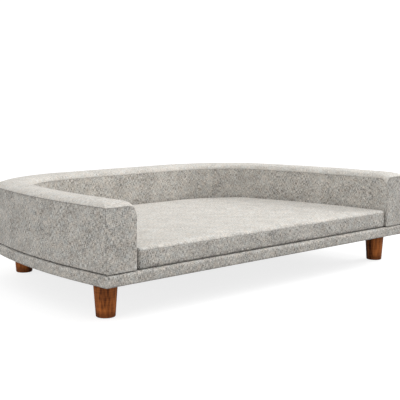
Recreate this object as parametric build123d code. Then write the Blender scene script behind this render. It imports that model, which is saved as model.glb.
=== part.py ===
from build123d import *
from math import asin, cos, degrees, radians, sin, sqrt
import os

# Dog sofa bed: a D-shaped upholstered base on four turned legs, a U-shaped padded wall with a crowned top,
# and one box cushion with a zipped cover that lifts out.
# Millimetres. The origin is on the floor under the middle of the footprint; -Y is the open front, +Z is up.

# Plan of the wall's outer face: straight arm, then three tangent arcs on each side, then a straight back
wall_length = 1287.0
side_straight = 119.0
side_radius = 1795.0
side_turn = 15.6
corner_radius = 166.0
corner_turn = 30.1
back_radius = 439.0

# Wall
wall_thickness = 100.0
wall_height = 167.0
outer_foam = 8.0
inner_foam = 22.0
front_foam = 8.0
top_foam_edge = 20.0
hardboard = 3.0
plate_thickness = 12.0
end_board = 9.0
stud_width = 40.0
turned_hem = 20.0

# Crowned top of the wall, in its cross-section
crown_lean = 14.0
outer_shoulder_radius = 32.0
outer_seam_lean = 50.0
inner_shoulder_radius = 18.0
inner_seam_lean = 85.0
nose_radius = 135.0
nose_edge = 0.5
nose_lift = 0.3

# Base
base_lip = 2.0
fabric = 1.5
edge_padding = 5.0
deck_thickness = 12.0
rail_height = 17.0
rail_width = 28.0
cross_rail_width = 45.0
cross_rail_from_middle = 180.0
base_edge_radius = 6.0
base_hem = 26.0
dust_cloth = 0.5
dust_cloth_inset = 8.0
leg_block_size = 110.0

# Legs
leg_height = 92.4
leg_top_radius = 32.0
leg_bottom_radius = 25.4
leg_foot_rounding = 3.0
front_leg_from_side = 57.0
front_leg_from_front = 77.0
rear_leg_from_side = 228.0
rear_leg_from_front = 716.0
glide_radius = 14.0
glide_thickness = 4.0
glide_stand_out = 1.5
glide_bevel = 1.0

# Fixings
leg_bolt_radius = 4.0
leg_bolt_in_leg = 35.0
leg_nut_radius = 5.5
leg_nut_flange_radius = 11.0
wall_bolt_radius = 3.0
wall_bolt_head_radius = 8.5
wall_bolt_head_height = 2.2
wall_insert_radius = 5.0
nut_flange = 1.4
thread_clearance = 0.1
hole_clearance = 0.4

# Cushion
cushion_thickness = 56.0
cushion_clearance = 2.5
cushion_rear_clearance = 6.5
cushion_setback = 1.0
cushion_shoulder_width = 20.0
cushion_shoulder_rise = 2.4
cushion_crown_width = 35.0
cushion_crown_rise = 1.6
cushion_edge_radius = 9.0
cushion_corner_radius = 12.0
cushion_seam_drop = 7.0
comfort_layer = 20.0
seat_gap = 0.3

# Zip in the rear of the cushion's band
zip_from_corner = 36.0
zip_tape_end = 7.0
zip_chain_width = 6.0
zip_chain_depth = 1.8
zip_tape_width = 26.0
zip_tape_thickness = 0.8
zip_slot_width = 13.0
slider_length = 14.0
slider_wall = 1.0
slider_clearance = 0.3
slider_park = 4.0
bridge_length = 8.0
bridge_width = 2.0
bridge_bar = 0.8
pull_length = 22.0
pull_width = 6.0
pull_thickness = 0.9
pull_bar = 1.2
pull_window = 4.0

# Heights
base_bottom = leg_height + dust_cloth
rail_bottom = base_bottom + fabric
deck_bottom = rail_bottom + rail_height
deck_top = deck_bottom + deck_thickness
base_top = deck_top + fabric
wall_seat = base_top + fabric
seam_top = base_top + wall_height
frame_top = seam_top - top_foam_edge
stud_bottom = wall_seat + plate_thickness
stud_top = frame_top - plate_thickness
cushion_bottom = base_top + seat_gap

# Depths into the wall, measured from its outer face
outer_board_face = fabric + outer_foam
frame_outer = outer_board_face + hardboard
inner_board_face = wall_thickness - fabric - inner_foam
frame_inner = inner_board_face - hardboard
wall_middle = (frame_outer + frame_inner) / 2
deck_inset = fabric + edge_padding - base_lip

# The three arcs of the left side: centre, radius, and the turn from the arm's direction where each one ends
corner_end = side_turn + corner_turn


def toward(turn):
    """Unit step from an arc's centre to the outline where the left side has turned by this angle."""
    return Vector(-cos(radians(turn)), sin(radians(turn)))


def arc_centres(front):
    """Centres of the side, corner and back arcs of the left half, for an outline that starts at front."""
    side = Vector(-wall_length / 2 + side_radius, front + side_straight)
    corner = side + toward(side_turn) * (side_radius - corner_radius)
    back = corner + toward(corner_end) * (corner_radius - back_radius)
    return side, corner, back


wall_depth = (arc_centres(0)[2] + toward(90) * back_radius).Y
front_y = -wall_depth / 2
back_y = wall_depth / 2
side_centre, corner_centre, back_centre = arc_centres(front_y)
back_straight = -2 * back_centre.X
zip_length = back_straight - 2 * zip_from_corner


def rim_point(turn, inset):
    """Point on the left side, inset from the wall's outer face, where the outline has turned by turn."""
    if turn <= side_turn:
        return side_centre + toward(turn) * (side_radius - inset)
    if turn <= corner_end:
        return corner_centre + toward(turn) * (corner_radius - inset)
    return back_centre + toward(turn) * (back_radius - inset)


def outline(inset, front, back_shift=0.0):
    """Edges of the wall's plan from front left round to front right, moved inward by inset."""
    shift = Vector(0, -back_shift)
    arcs = [
        (side_centre + shift, side_radius - inset, 0, side_turn),
        (corner_centre + shift, corner_radius - inset, side_turn, corner_end),
        (back_centre + shift, back_radius - inset, corner_end, 90),
    ]
    left = [CenterArc((c.X, c.Y), r, 180 - start, start - end) for c, r, start, end in arcs]
    right = [CenterArc((-c.X, c.Y), r, end, start - end) for c, r, start, end in reversed(arcs)]
    half = wall_length / 2 - inset
    first = Line((-half, front), left[0] @ 0)
    back = Line(left[-1] @ 1, right[0] @ 0)
    last = Line(right[-1] @ 1, (half, front))
    return [first, *left, back, *right, last]


def plan_face(inset, front, back_shift=0.0):
    """D-shaped face: the plan moved inward by inset, closed along its front."""
    edges = outline(inset, front, back_shift)
    closing = Line(edges[-1] @ 1, edges[0] @ 0)
    return make_face(Curve() + [*edges, closing])


def plan_block(inset, bottom, top, front):
    """D-shaped block over the plan moved inward by inset."""
    return extrude(Pos(0, 0, bottom) * plan_face(inset, front), top - bottom, dir=(0, 0, 1))


def strip(outer, inner, bottom, top, front):
    """U-shaped strip of the wall between two insets, open at the front."""
    return plan_block(outer, bottom, top, front) - plan_block(inner, bottom - 1, top + 1, front - 5)


def slab(y_low, y_high, z_low, z_high):
    """Full-width slab between two depths and two heights, for cutting."""
    centre = Pos(0, (y_low + y_high) / 2, (z_low + z_high) / 2)
    return centre * Box(2 * wall_length, y_high - y_low, z_high - z_low)


def half_space(side):
    """Block that covers the left (-1) or right (+1) half of the sofa."""
    return Pos(side * wall_length, 0, 0) * Box(2 * wall_length, 2 * wall_depth, 4 * wall_height)


def rod(x, y, radius, bottom, top):
    """Upright round bar or hole."""
    return Pos(x, y, (bottom + top) / 2) * Cylinder(radius, top - bottom)


def named(solid, label):
    """Give a solid its name and write it to its own file."""
    solid.label = label
    export_step(solid, f"parts/{label}.step")
    print(label, len(solid.solids()), "solid(s)", [round(v, 1) for v in tuple(solid.bounding_box().size)])
    return solid


def both_sides(points):
    """The points of the left side and their mirror images on the right."""
    return [(x, y) for x, y in points] + [(-x, y) for x, y in points]


# Cross-section of the wall's top: an outer shoulder, a shallow crown and an inner shoulder, all tangent
outer_run = outer_shoulder_radius * (sin(radians(outer_seam_lean)) - sin(radians(crown_lean)))
inner_run = inner_shoulder_radius * (sin(radians(inner_seam_lean)) - sin(radians(crown_lean)))
crown_radius = (wall_thickness - outer_run - inner_run) / (2 * sin(radians(crown_lean)))


def lean(angle):
    """Unit step out of an arc's centre where the surface leans by angle (rising inward is positive)."""
    return Vector(-sin(radians(angle)), cos(radians(angle)))


outer_shoulder_centre = lean(outer_seam_lean) * -outer_shoulder_radius
crown_centre = outer_shoulder_centre + lean(crown_lean) * (outer_shoulder_radius - crown_radius)
inner_shoulder_centre = crown_centre + lean(-crown_lean) * (crown_radius - inner_shoulder_radius)
crown_height = crown_centre.Y + crown_radius
inner_seam = inner_shoulder_centre + lean(-inner_seam_lean) * inner_shoulder_radius
wall_peak = seam_top + crown_height


def wall_section(inset, bottom):
    """Cross-section of the wall in depth and height above the outer seam, moved inward by inset."""
    arcs = [
        (outer_shoulder_centre, outer_shoulder_radius - inset, outer_seam_lean, crown_lean),
        (crown_centre, crown_radius - inset, crown_lean, -crown_lean),
        (inner_shoulder_centre, inner_shoulder_radius - inset, -crown_lean, -inner_seam_lean),
    ]
    top = [CenterArc((c.X, c.Y), r, 90 + start, end - start) for c, r, start, end in arcs]
    start, end = top[0] @ 0, top[-1] @ 1
    low = bottom - seam_top
    under = [Line((start.X, low), start), Line(end, (end.X, low)), Line((end.X, low), (start.X, low))]
    filled = make_face(Curve() + [*top, *under])
    width = wall_thickness - 2 * inset
    height = crown_height - low
    window = Pos(wall_thickness / 2, low + height / 2) * Rectangle(width, height)
    return filled & window if inset else filled


def nose(inset):
    """Side view of the whole wall: upright front face, then the top rolls back until it clears the crown."""
    rise = crown_height + nose_lift - nose_edge
    run = sqrt(nose_radius**2 - (nose_radius - rise) ** 2)
    centre_y = front_y + run
    centre_z = wall_peak + nose_lift - nose_radius
    radius = nose_radius - inset
    face_y = front_y + inset
    angle = degrees(asin((centre_y - face_y) / radius))
    roll = CenterArc((centre_y, centre_z), radius, 90, angle)
    top_start, top_end = roll @ 0, roll @ 1
    low = -10.0
    far = back_y + 50
    sides = [
        Line(top_end, (face_y, low)),
        Line((face_y, low), (far, low)),
        Line((far, low), (far, top_start.Y)),
        Line((far, top_start.Y), top_start),
    ]
    profile = make_face(Curve() + [roll, *sides])
    view = Plane(origin=(-wall_length, 0, 0), x_dir=(0, 1, 0), z_dir=(1, 0, 0))
    return extrude(view * profile, 2 * wall_length, dir=(1, 0, 0))


def wall_envelope(inset, bottom):
    """The wall's outer shape, moved inward by inset: the cross-section swept round the plan."""
    path = Wire(outline(0, front_y - 5))
    start = Plane(origin=(-wall_length / 2, front_y - 5, seam_top), x_dir=(1, 0, 0), z_dir=(0, -1, 0))
    swept = sweep(start * wall_section(inset, bottom), path=path)
    return swept & nose(inset)


# Places of the legs, the wall bolts and the studs
front_legs = both_sides([(-wall_length / 2 + front_leg_from_side, front_y + front_leg_from_front)])
rear_legs = both_sides([(-wall_length / 2 + rear_leg_from_side, front_y + rear_leg_from_front)])
legs = {
    "leg_front_left": front_legs[0],
    "leg_front_right": front_legs[1],
    "leg_rear_left": rear_legs[0],
    "leg_rear_right": rear_legs[1],
}
bolt_turns = [5.0, 43.0, 75.0]
stud_turns = [9.0, 22.0, 56.0]
bolt_points = both_sides([(p.X, p.Y) for p in (rim_point(turn, wall_middle) for turn in bolt_turns)])


def base_parts():
    """Deck, rails, blocks, padding and cloth of the D-shaped base."""
    lip_front = front_y - base_lip
    outer = plan_block(-base_lip, base_bottom, base_top, lip_front)
    outer = fillet(outer.edges().group_by(Axis.Z)[-1], base_edge_radius)
    inner = plan_block(fabric - base_lip, rail_bottom, deck_top, lip_front + fabric)
    inner = fillet(inner.edges().group_by(Axis.Z)[-1], base_edge_radius - fabric)
    hem_inset = base_hem - base_lip
    window = plan_block(hem_inset, base_bottom - 1, rail_bottom + 1, front_y + hem_inset)
    cover = outer - inner - window
    deck_front = front_y + deck_inset
    deck = plan_block(deck_inset, deck_bottom, deck_top, deck_front)
    padding = inner - plan_block(deck_inset, rail_bottom - 1, deck_top + 1, deck_front)

    rim = plan_block(deck_inset, rail_bottom, deck_bottom, deck_front)
    head_room = deck_bottom - wall_bolt_head_height - hole_clearance
    for x, y in bolt_points:
        rim -= rod(x, y, wall_bolt_head_radius + hole_clearance, head_room, deck_bottom + 1)
    rail_inset = deck_inset + rail_width
    hollow = plan_block(rail_inset, rail_bottom - 1, deck_bottom + 1, front_y + rail_inset)
    block = Box(leg_block_size, leg_block_size, 4 * rail_height)
    notches = Part() + [Pos(x, y, deck_bottom) * block for x, y in legs.values()]
    blocks = rim & notches
    rails = (rim - hollow - notches).solids()
    front_rail = rails.sort_by(Axis.Y)[0]
    back_rail = rails.sort_by(Axis.Y)[-1]
    left_rail = rails.sort_by(Axis.X)[0]
    right_rail = rails.sort_by(Axis.X)[-1]
    inside = hollow & rim
    cross_rails = Part() + [
        inside & Pos(x, 0, deck_bottom) * Box(cross_rail_width, 2 * wall_depth, 4 * rail_height)
        for x in (-cross_rail_from_middle, cross_rail_from_middle)
    ]

    dust_inset = dust_cloth_inset - base_lip
    dust = plan_block(dust_inset, leg_height, base_bottom, front_y + dust_inset)
    for x, y in bolt_points:
        hole = rod(x, y, wall_bolt_radius + hole_clearance, deck_bottom - 1, base_top + 1)
        deck -= hole
        cover -= hole
    nut_seat = deck_bottom - nut_flange
    for x, y in legs.values():
        blocks -= rod(x, y, leg_nut_radius + thread_clearance, rail_bottom - 1, deck_bottom + 1)
        blocks -= rod(x, y, leg_nut_flange_radius + thread_clearance, nut_seat, deck_bottom + 1)
        dust -= rod(x, y, leg_bolt_radius + hole_clearance, leg_height - 1, base_bottom + 1)
        cover -= rod(x, y, leg_bolt_radius + hole_clearance, base_bottom - 1, rail_bottom + 1)
    named(cover, "base_cover")
    named(padding, "base_edge_padding")
    named(deck, "base_deck")
    named(front_rail, "base_front_rail")
    named(back_rail, "base_back_rail")
    named(left_rail, "base_side_rail_left")
    named(right_rail, "base_side_rail_right")
    named(cross_rails, "base_cross_rails")
    named(blocks, "base_leg_blocks")
    named(dust, "base_dust_cover")


def wall_frame():
    """Plywood plates, studs, end boards and hardboard skins of the U-shaped wall."""
    board_front = front_y + fabric + front_foam
    plate_front = board_front + end_board
    bottom_plate = strip(frame_outer, frame_inner, wall_seat, stud_bottom, plate_front)
    for x, y in bolt_points:
        bottom_plate -= rod(x, y, wall_insert_radius, wall_seat - 1, stud_bottom + 1)
    named(bottom_plate, "wall_bottom_plate")
    named(strip(frame_outer, frame_inner, stud_top, frame_top, plate_front), "wall_top_plate")

    filling = strip(frame_outer, frame_inner, stud_bottom, stud_top, plate_front)
    middle_z = (stud_bottom + stud_top) / 2
    cutter = Box(2 * wall_thickness, stud_width, wall_height)
    arm_x = wall_length / 2 - wall_middle
    studs = [filling & Pos(x, plate_front + stud_width / 2, middle_z) * cutter for x in (-arm_x, arm_x)]
    studs += [filling & Pos(0, back_y - wall_middle, middle_z) * Rot(0, 0, 90) * cutter]
    for turn in stud_turns:
        place = rim_point(turn, wall_middle)
        studs.append(filling & Pos(place.X, place.Y, middle_z) * Rot(0, 0, -turn) * cutter)
        studs.append(filling & Pos(-place.X, place.Y, middle_z) * Rot(0, 0, turn) * cutter)
    named(Part() + studs, "wall_studs")

    boards = strip(frame_outer, frame_inner, wall_seat, frame_top, board_front) & slab(
        board_front, plate_front, wall_seat, frame_top
    )
    named(boards & half_space(-1), "arm_end_board_left")
    named(boards & half_space(1), "arm_end_board_right")
    named(strip(outer_board_face, frame_outer, wall_seat, frame_top, board_front), "wall_outer_panel")
    named(strip(frame_inner, inner_board_face, wall_seat, frame_top, board_front), "wall_inner_panel")


def wall_padding(body):
    """Foam round the frame, the inner one glued on in three lengths; body is the wall just inside its fabric."""
    foam_back = front_y + fabric + front_foam
    inner_face = wall_thickness - fabric
    named(strip(fabric, outer_board_face, wall_seat, frame_top, foam_back), "wall_outer_foam")
    lining = strip(inner_board_face, inner_face, wall_seat, frame_top, foam_back)
    straight = Pos(0, back_y, 0) * Box(back_straight, wall_depth, 4 * wall_height)
    named(lining & straight, "wall_inner_foam_back")
    named((lining - straight) & half_space(-1), "wall_inner_foam_left")
    named((lining - straight) & half_space(1), "wall_inner_foam_right")
    named(body & slab(foam_back, back_y + 5, frame_top, wall_peak + 5), "wall_top_foam")
    ends = body & slab(front_y, foam_back, wall_seat, wall_peak + 5)
    named(ends & half_space(-1), "arm_front_foam_left")
    named(ends & half_space(1), "arm_front_foam_right")


def wall_fabric(body):
    """Fabric panels sewn along the outer and inner top seams, hemmed under the wall."""
    shell = wall_envelope(0, base_top) - body
    shell -= strip(turned_hem, wall_thickness - turned_hem, base_top - 1, wall_seat + 1, front_y + turned_hem)
    fronts = shell & slab(front_y - 5, front_y + fabric, 0, wall_peak + 5)
    around = shell & slab(front_y + fabric, back_y + 5, 0, wall_peak + 5)
    low = base_top - 1
    lap = fabric + 0.2
    start = front_y - 5
    middle = wall_thickness / 2
    inner_seam_z = seam_top + inner_seam.Y
    outer_zone = strip(-1, lap, low, seam_top, start) + strip(-1, middle, low, wall_seat, start)
    inner_side = strip(wall_thickness - lap, wall_thickness + 1, low, inner_seam_z, start)
    inner_zone = inner_side + strip(middle, wall_thickness + 1, low, wall_seat, start)
    named(fronts & half_space(-1), "arm_front_fabric_left")
    named(fronts & half_space(1), "arm_front_fabric_right")
    named(around & outer_zone, "wall_outer_fabric")
    named(around & inner_zone, "wall_inner_fabric")
    named(around - outer_zone - inner_zone, "wall_top_fabric")


def leg_parts():
    """Four turned legs with their hanger bolts, tee nuts and glides."""
    low = glide_stand_out
    profile = Polyline(
        (0, low), (leg_bottom_radius, low), (leg_top_radius, leg_height), (0, leg_height), close=True
    )
    section = make_face(Plane.XZ * profile)
    turned = revolve(section, Axis.Z)
    foot_edge = turned.edges().filter_by(GeomType.CIRCLE).group_by(Axis.Z)[0]
    turned = fillet(foot_edge, leg_foot_rounding)
    turned -= rod(0, 0, glide_radius + hole_clearance / 2, low - 1, glide_thickness)
    turned -= rod(0, 0, leg_bolt_radius + thread_clearance, leg_height - leg_bolt_in_leg, leg_height + 1)
    for label, (x, y) in legs.items():
        named(Pos(x, y, 0) * turned, label)

    bolt = rod(0, 0, leg_bolt_radius, leg_height - leg_bolt_in_leg, deck_bottom - 1)
    barrel = rod(0, 0, leg_nut_radius, rail_bottom + 3, deck_bottom)
    flange = rod(0, 0, leg_nut_flange_radius, deck_bottom - nut_flange, deck_bottom)
    nut = barrel + flange - rod(0, 0, leg_bolt_radius + thread_clearance, rail_bottom, deck_bottom + 1)
    glide = chamfer(rod(0, 0, glide_radius, 0, glide_thickness).edges().group_by(Axis.Z)[0], glide_bevel)
    places = [Pos(x, y, 0) for x, y in legs.values()]
    named(Part() + [place * bolt for place in places], "leg_hanger_bolts")
    named(Part() + [place * nut for place in places], "leg_t_nuts")
    named(Part() + [place * glide for place in places], "leg_glides")


def wall_fixings():
    """Wide-headed connector bolts, driven from below the deck into threaded inserts in the wall's bottom plate."""
    head_bottom = deck_bottom - wall_bolt_head_height
    bolt = rod(0, 0, wall_bolt_head_radius, head_bottom, deck_bottom)
    bolt += rod(0, 0, wall_bolt_radius, deck_bottom, stud_bottom)
    insert = rod(0, 0, wall_insert_radius, wall_seat, stud_bottom)
    insert -= rod(0, 0, wall_bolt_radius + thread_clearance, wall_seat - 1, stud_bottom + 1)
    places = [Pos(x, y, 0) for x, y in bolt_points]
    named(Part() + [place * bolt for place in places], "wall_bolts")
    named(Part() + [place * insert for place in places], "wall_threaded_inserts")


def cushion_face(inset, height):
    """Plan of the cushion at a height, moved inward by inset, with rounded front corners."""
    front = front_y + cushion_setback + inset
    shift = cushion_rear_clearance - cushion_clearance
    face = plan_face(wall_thickness + cushion_clearance + inset, front, shift)
    corners = face.vertices().group_by(Axis.Y)[0]
    return Pos(0, 0, height) * fillet(corners, cushion_corner_radius)


def cushion_body(inset):
    """The cushion's shape, moved inward by inset: D-shaped, crowned on top, soft at every edge."""
    bottom = cushion_bottom + inset
    edge_top = cushion_bottom + cushion_thickness - inset
    shoulder_top = edge_top + cushion_shoulder_rise
    crown_inset = cushion_shoulder_width + cushion_crown_width
    edge = cushion_face(inset, edge_top)
    shoulder = cushion_face(inset + cushion_shoulder_width, shoulder_top)
    crown = cushion_face(inset + crown_inset, shoulder_top + cushion_crown_rise)
    block = extrude(cushion_face(inset, bottom), edge_top - bottom, dir=(0, 0, 1))
    block += loft([edge, shoulder], ruled=True) + loft([shoulder, crown], ruled=True)
    levels = block.edges().filter_by(lambda e: e.bounding_box().size.Z < 0.01).group_by(Axis.Z)
    return fillet(levels[0] + levels[1], cushion_edge_radius - inset)


def cushion_parts():
    """Two foam layers in a sewn cover of top, band and bottom, with the zip in the rear of the band."""
    outer = cushion_body(0)
    filling = cushion_body(fabric)
    top_seam = cushion_bottom + cushion_thickness - cushion_seam_drop
    bottom_seam = cushion_bottom + cushion_seam_drop
    layer_face = cushion_bottom + cushion_thickness - comfort_layer
    rear_y = back_y - wall_thickness - cushion_rear_clearance
    zip_z = cushion_bottom + cushion_thickness / 2
    cover = outer - filling
    y_low, y_high = front_y - 5, back_y + 5
    band = cover & slab(y_low, y_high, bottom_seam, top_seam)
    band -= Pos(0, rear_y, zip_z) * Box(zip_length, 4 * fabric, zip_slot_width)
    pocket_y = rear_y - fabric
    pocket_depth = zip_tape_thickness
    pocket = Pos(0, pocket_y - pocket_depth / 2, zip_z) * Box(
        zip_length + 2 * zip_tape_end + 1, pocket_depth, zip_tape_width + 1
    )
    filling -= pocket
    named(cover & slab(y_low, y_high, top_seam, 2 * seam_top), "cushion_top_panel")
    named(cover & slab(y_low, y_high, 0, bottom_seam), "cushion_bottom_panel")
    named(band, "cushion_band")
    named(filling & slab(y_low, y_high, layer_face, 2 * seam_top), "cushion_comfort_foam")
    named(filling & slab(y_low, y_high, 0, layer_face), "cushion_support_foam")

    tape_y = pocket_y - pocket_depth / 2
    tape = Pos(0, tape_y, zip_z) * Box(zip_length + 2 * zip_tape_end, zip_tape_thickness, zip_tape_width)
    named(tape, "cushion_zip_tape")
    chain_y = pocket_y + zip_chain_depth / 2
    chain = Pos(0, chain_y, zip_z) * Box(zip_length - 4, zip_chain_depth, zip_chain_width)
    chain = fillet(chain.edges().filter_by(Axis.X).group_by(Axis.Y)[-1], zip_chain_depth / 3)
    named(chain, "zip_chain")

    plate_y = pocket_y + zip_chain_depth + slider_clearance
    slider_x = -zip_length / 2 + slider_length / 2 + slider_park
    named(Pos(slider_x, plate_y, zip_z) * zip_slider(), "zip_slider")
    named(Pos(slider_x, plate_y + slider_wall, zip_z) * zip_pull(), "zip_pull")


def zip_slider():
    """Slider that rides over the chain: plate, two side flanges and the bridge that holds the pull."""
    channel = zip_chain_width + 2 * slider_clearance
    width = channel + 2 * slider_wall
    depth = zip_chain_depth + slider_wall
    shell = Pos(0, slider_wall - depth / 2, 0) * Box(slider_length, depth, width)
    shell = fillet(shell.edges().filter_by(Axis.Y), 1.2)
    shell -= Pos(0, -zip_chain_depth, 0) * Box(slider_length + 2, 2 * zip_chain_depth, channel)
    rise = pull_thickness + slider_clearance + bridge_bar
    bridge = Pos(0, slider_wall + rise / 2, 0) * Box(bridge_length, rise, bridge_width)
    eye_height = rise - bridge_bar
    eye = Pos(0, slider_wall + eye_height / 2, 0) * Box(bridge_length - 2 * bridge_bar, eye_height, 2 * bridge_width)
    return shell + (bridge - eye)


def zip_pull():
    """Flat pull tab: its crossbar lies under the slider's bridge, and the tab points along the zip."""
    tab = Pos(pull_length / 2 - pull_bar / 2, 0, 0) * SlotOverall(pull_length, pull_width)
    window = Pos(pull_bar / 2 + pull_window / 2, 0, 0) * Rectangle(pull_window, bridge_width + 2 * hole_clearance)
    hole = Pos(pull_length - pull_width / 2 - pull_bar / 2, 0, 0) * Circle(pull_width / 4)
    flat = extrude(tab - window - hole, pull_thickness)
    return Rot(-90, 0, 0) * flat


os.makedirs("parts", exist_ok=True)
body = wall_envelope(fabric, wall_seat)
base_parts()
wall_frame()
wall_padding(body)
wall_fabric(body)
wall_fixings()
leg_parts()
cushion_parts()
print("wall depth", round(wall_depth, 1), "peak height", round(wall_peak, 1))
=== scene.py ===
# %% [markdown]
# A dog sofa bed, dressed in Blender round its construction model. That model holds every board, foam block and
# screw, in metres. The sofa could be modelled anew for the picture, but then its sizes and joints would drift
# away from the construction. So this script keeps the hard parts, gives them real finishes, and sews new
# covers over the soft ones.

# %% Load the construction model
import time
from math import ceil, cos, pi, radians, sin, sqrt

import bmesh
import bpy
from mathutils import Matrix, Vector, noise


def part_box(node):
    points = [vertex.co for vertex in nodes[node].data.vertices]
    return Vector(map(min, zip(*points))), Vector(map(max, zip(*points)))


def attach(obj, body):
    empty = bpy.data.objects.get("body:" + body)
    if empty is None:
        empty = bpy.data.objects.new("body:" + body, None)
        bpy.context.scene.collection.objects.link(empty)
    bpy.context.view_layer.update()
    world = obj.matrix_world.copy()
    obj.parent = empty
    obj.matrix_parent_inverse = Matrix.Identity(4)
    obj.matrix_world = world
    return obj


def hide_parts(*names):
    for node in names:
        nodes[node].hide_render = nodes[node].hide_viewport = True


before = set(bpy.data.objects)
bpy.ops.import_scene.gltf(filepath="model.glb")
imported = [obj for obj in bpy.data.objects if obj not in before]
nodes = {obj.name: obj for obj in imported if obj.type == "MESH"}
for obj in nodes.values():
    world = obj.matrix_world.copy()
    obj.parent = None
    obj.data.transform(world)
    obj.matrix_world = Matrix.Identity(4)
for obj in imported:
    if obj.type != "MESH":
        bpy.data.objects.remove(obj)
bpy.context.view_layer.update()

print("construction nodes:", len(nodes))

# %% [markdown]
# The camera stands where the photographer stood. It could be placed by eye until the picture looks about
# right. Instead its place, turn and lens were solved from the straight edges of the sofa in the photograph,
# so that a render can be laid over the photograph edge for edge.

# %% Camera
camera_data = bpy.data.cameras.new("photo_camera")
camera_data.sensor_fit = "HORIZONTAL"
camera_data.sensor_width = 36.0
camera_data.lens = 81.405
camera = bpy.data.objects.new("photo_camera", camera_data)
bpy.context.scene.collection.objects.link(camera)
yaw, pitch, roll = radians(44.0013), radians(6.8716), radians(0.1737)
turn = Matrix.Rotation(-yaw, 4, "Z") @ Matrix.Rotation(pi / 2 - pitch, 4, "X") @ Matrix.Rotation(roll, 4, "Z")
camera.matrix_world = Matrix.Translation((-1.99077, -2.12468, 0.57665)) @ turn
bpy.context.scene.camera = camera
print("camera", [round(v, 3) for v in camera.location], "lens", camera_data.lens, "mm")

# %% [markdown]
# Colours are written as the hex values that a designer would pick from a swatch. Blender works with linear
# light, so one function turns each hex value into linear numbers. A material could be wired by hand in the
# shader editor. Here a small function adds a node, sets what it needs and wires it up, which keeps every
# material below short enough to read.

# %% Colour and node helpers
def linear(swatch):
    """Linear red, green, blue and alpha of an sRGB hex swatch."""
    parts = [int(swatch[i:i + 2], 16) / 255 for i in (1, 3, 5)]
    return [p / 12.92 if p <= 0.04045 else ((p + 0.055) / 1.055) ** 2.4 for p in parts] + [1.0]


def feed(tree, node, feeds):
    """Set or wire a node's inputs: feeds gives each of them a value or another node's output."""
    for socket, value in feeds.items():
        if isinstance(value, bpy.types.NodeSocket):
            tree.links.new(value, node.inputs[socket])
        else:
            node.inputs[socket].default_value = value
    return node


def add_node(tree, kind, feeds=None, **settings):
    """A new node in tree: settings are its options, feeds its inputs."""
    node = tree.nodes.new(kind)
    for option, value in settings.items():
        setattr(node, option, value)
    return feed(tree, node, feeds or {})


def new_material(name):
    """An empty node material, its tree and its main shader."""
    material = bpy.data.materials.new(name)
    material.use_nodes = True
    tree = material.node_tree
    tree.nodes.clear()
    shader = add_node(tree, "ShaderNodeBsdfPrincipled")
    add_node(tree, "ShaderNodeOutputMaterial", {"Surface": shader.outputs[0]})
    return material, tree, shader


print("white in linear light", linear("#FFFFFF"))

# %% [markdown]
# The stage is a plain pale floor that curves up far behind the sofa, like a paper sweep in a photo studio. A
# product on a white page is lit evenly and its paper is lifted to white afterwards, which could be done here
# in the compositor. Instead the paper itself does it, so that a render needs nothing after it: the camera
# sees it bright, but the light that it throws back on the sofa stays that of pale grey paper. A white sky
# lights every side, a softbox above makes the tops the lightest faces, and one at the right lights the inside
# of the left corner, as in the photograph.

# %% Stage and lights
def studio_sweep():
    """A floor that bends up into a backdrop, as one smooth sheet."""
    near, far, bend, top, half_width = -9.0, 4.0, 3.0, 9.0, 14.0
    profile = [(near, 0.0), (far, 0.0)]
    profile += [(far + bend * sin(radians(a)), bend - bend * cos(radians(a))) for a in range(6, 91, 6)]
    profile += [(far + bend, top)]
    mesh = bmesh.new()
    rows = [[mesh.verts.new((x, y, z)) for y, z in profile] for x in (-half_width, half_width)]
    for i in range(len(profile) - 1):
        mesh.faces.new((rows[0][i], rows[1][i], rows[1][i + 1], rows[0][i + 1])).smooth = True
    data = bpy.data.meshes.new("studio_sweep")
    mesh.to_mesh(data)
    sweep = bpy.data.objects.new("studio_sweep", data)
    sweep.rotation_euler.z = -yaw
    bpy.context.scene.collection.objects.link(sweep)
    return sweep


paper, tree, shader = new_material("matt_studio_paper")
grain = add_node(tree, "ShaderNodeTexNoise", {"Scale": 3.0, "Detail": 2.0})
greys = add_node(tree, "ShaderNodeMapRange", {"Value": grain.outputs[0], "To Min": 0.24, "To Max": 0.26})
seen = add_node(tree, "ShaderNodeLightPath")
lift = add_node(tree, "ShaderNodeMapRange", {"Value": seen.outputs["Is Camera Ray"],
                                             "To Min": 0.1, "To Max": 0.8})
feed(tree, shader, {"Base Color": greys.outputs[0], "Roughness": 0.9, "Emission Color": linear("#FFFFFF"),
                    "Emission Strength": lift.outputs[0]})
sweep = studio_sweep()
sweep.data.materials.append(paper)


def softbox(name, place, target, size, power):
    """A square soft light at place, turned towards target; power in watts."""
    light = bpy.data.lights.new(name, "AREA")
    light.shape = "SQUARE"
    light.size = size
    light.energy = power
    lamp = bpy.data.objects.new(name, light)
    lamp.location = place
    lamp.rotation_euler = (Vector(target) - Vector(place)).to_track_quat("-Z", "Y").to_euler()
    bpy.context.scene.collection.objects.link(lamp)


softbox("overhead_softbox", (0.4, -0.5, 3.0), (0.0, 0.0, 0.2), size=2.4, power=24)
softbox("right_softbox", (5.7, -1.5, 3.0), (0.0, 0.1, 0.25), size=2.6, power=270)
softbox("low_left_softbox", (-3.2, -0.8, 0.55), (-0.5, 0.0, 0.2), size=1.0, power=12)
sky = bpy.data.worlds.new("pale_sky")
bpy.context.scene.world = sky
sky.use_nodes = True
sky.node_tree.nodes["Background"].inputs["Color"].default_value = linear("#FFFFFF")
sky.node_tree.nodes["Background"].inputs["Strength"].default_value = 1.0
bpy.context.scene.view_settings.view_transform = "Standard"
print("stage and lights ready")

# %% [markdown]
# The wall runs round three sides of the sofa. Seen from above its outer face is a straight arm, three arcs
# that touch without a kink, and a straight back, mirrored on the right. It could be traced as a free curve,
# but a joiner cuts such a line from arcs, and arcs need only a few numbers.

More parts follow.
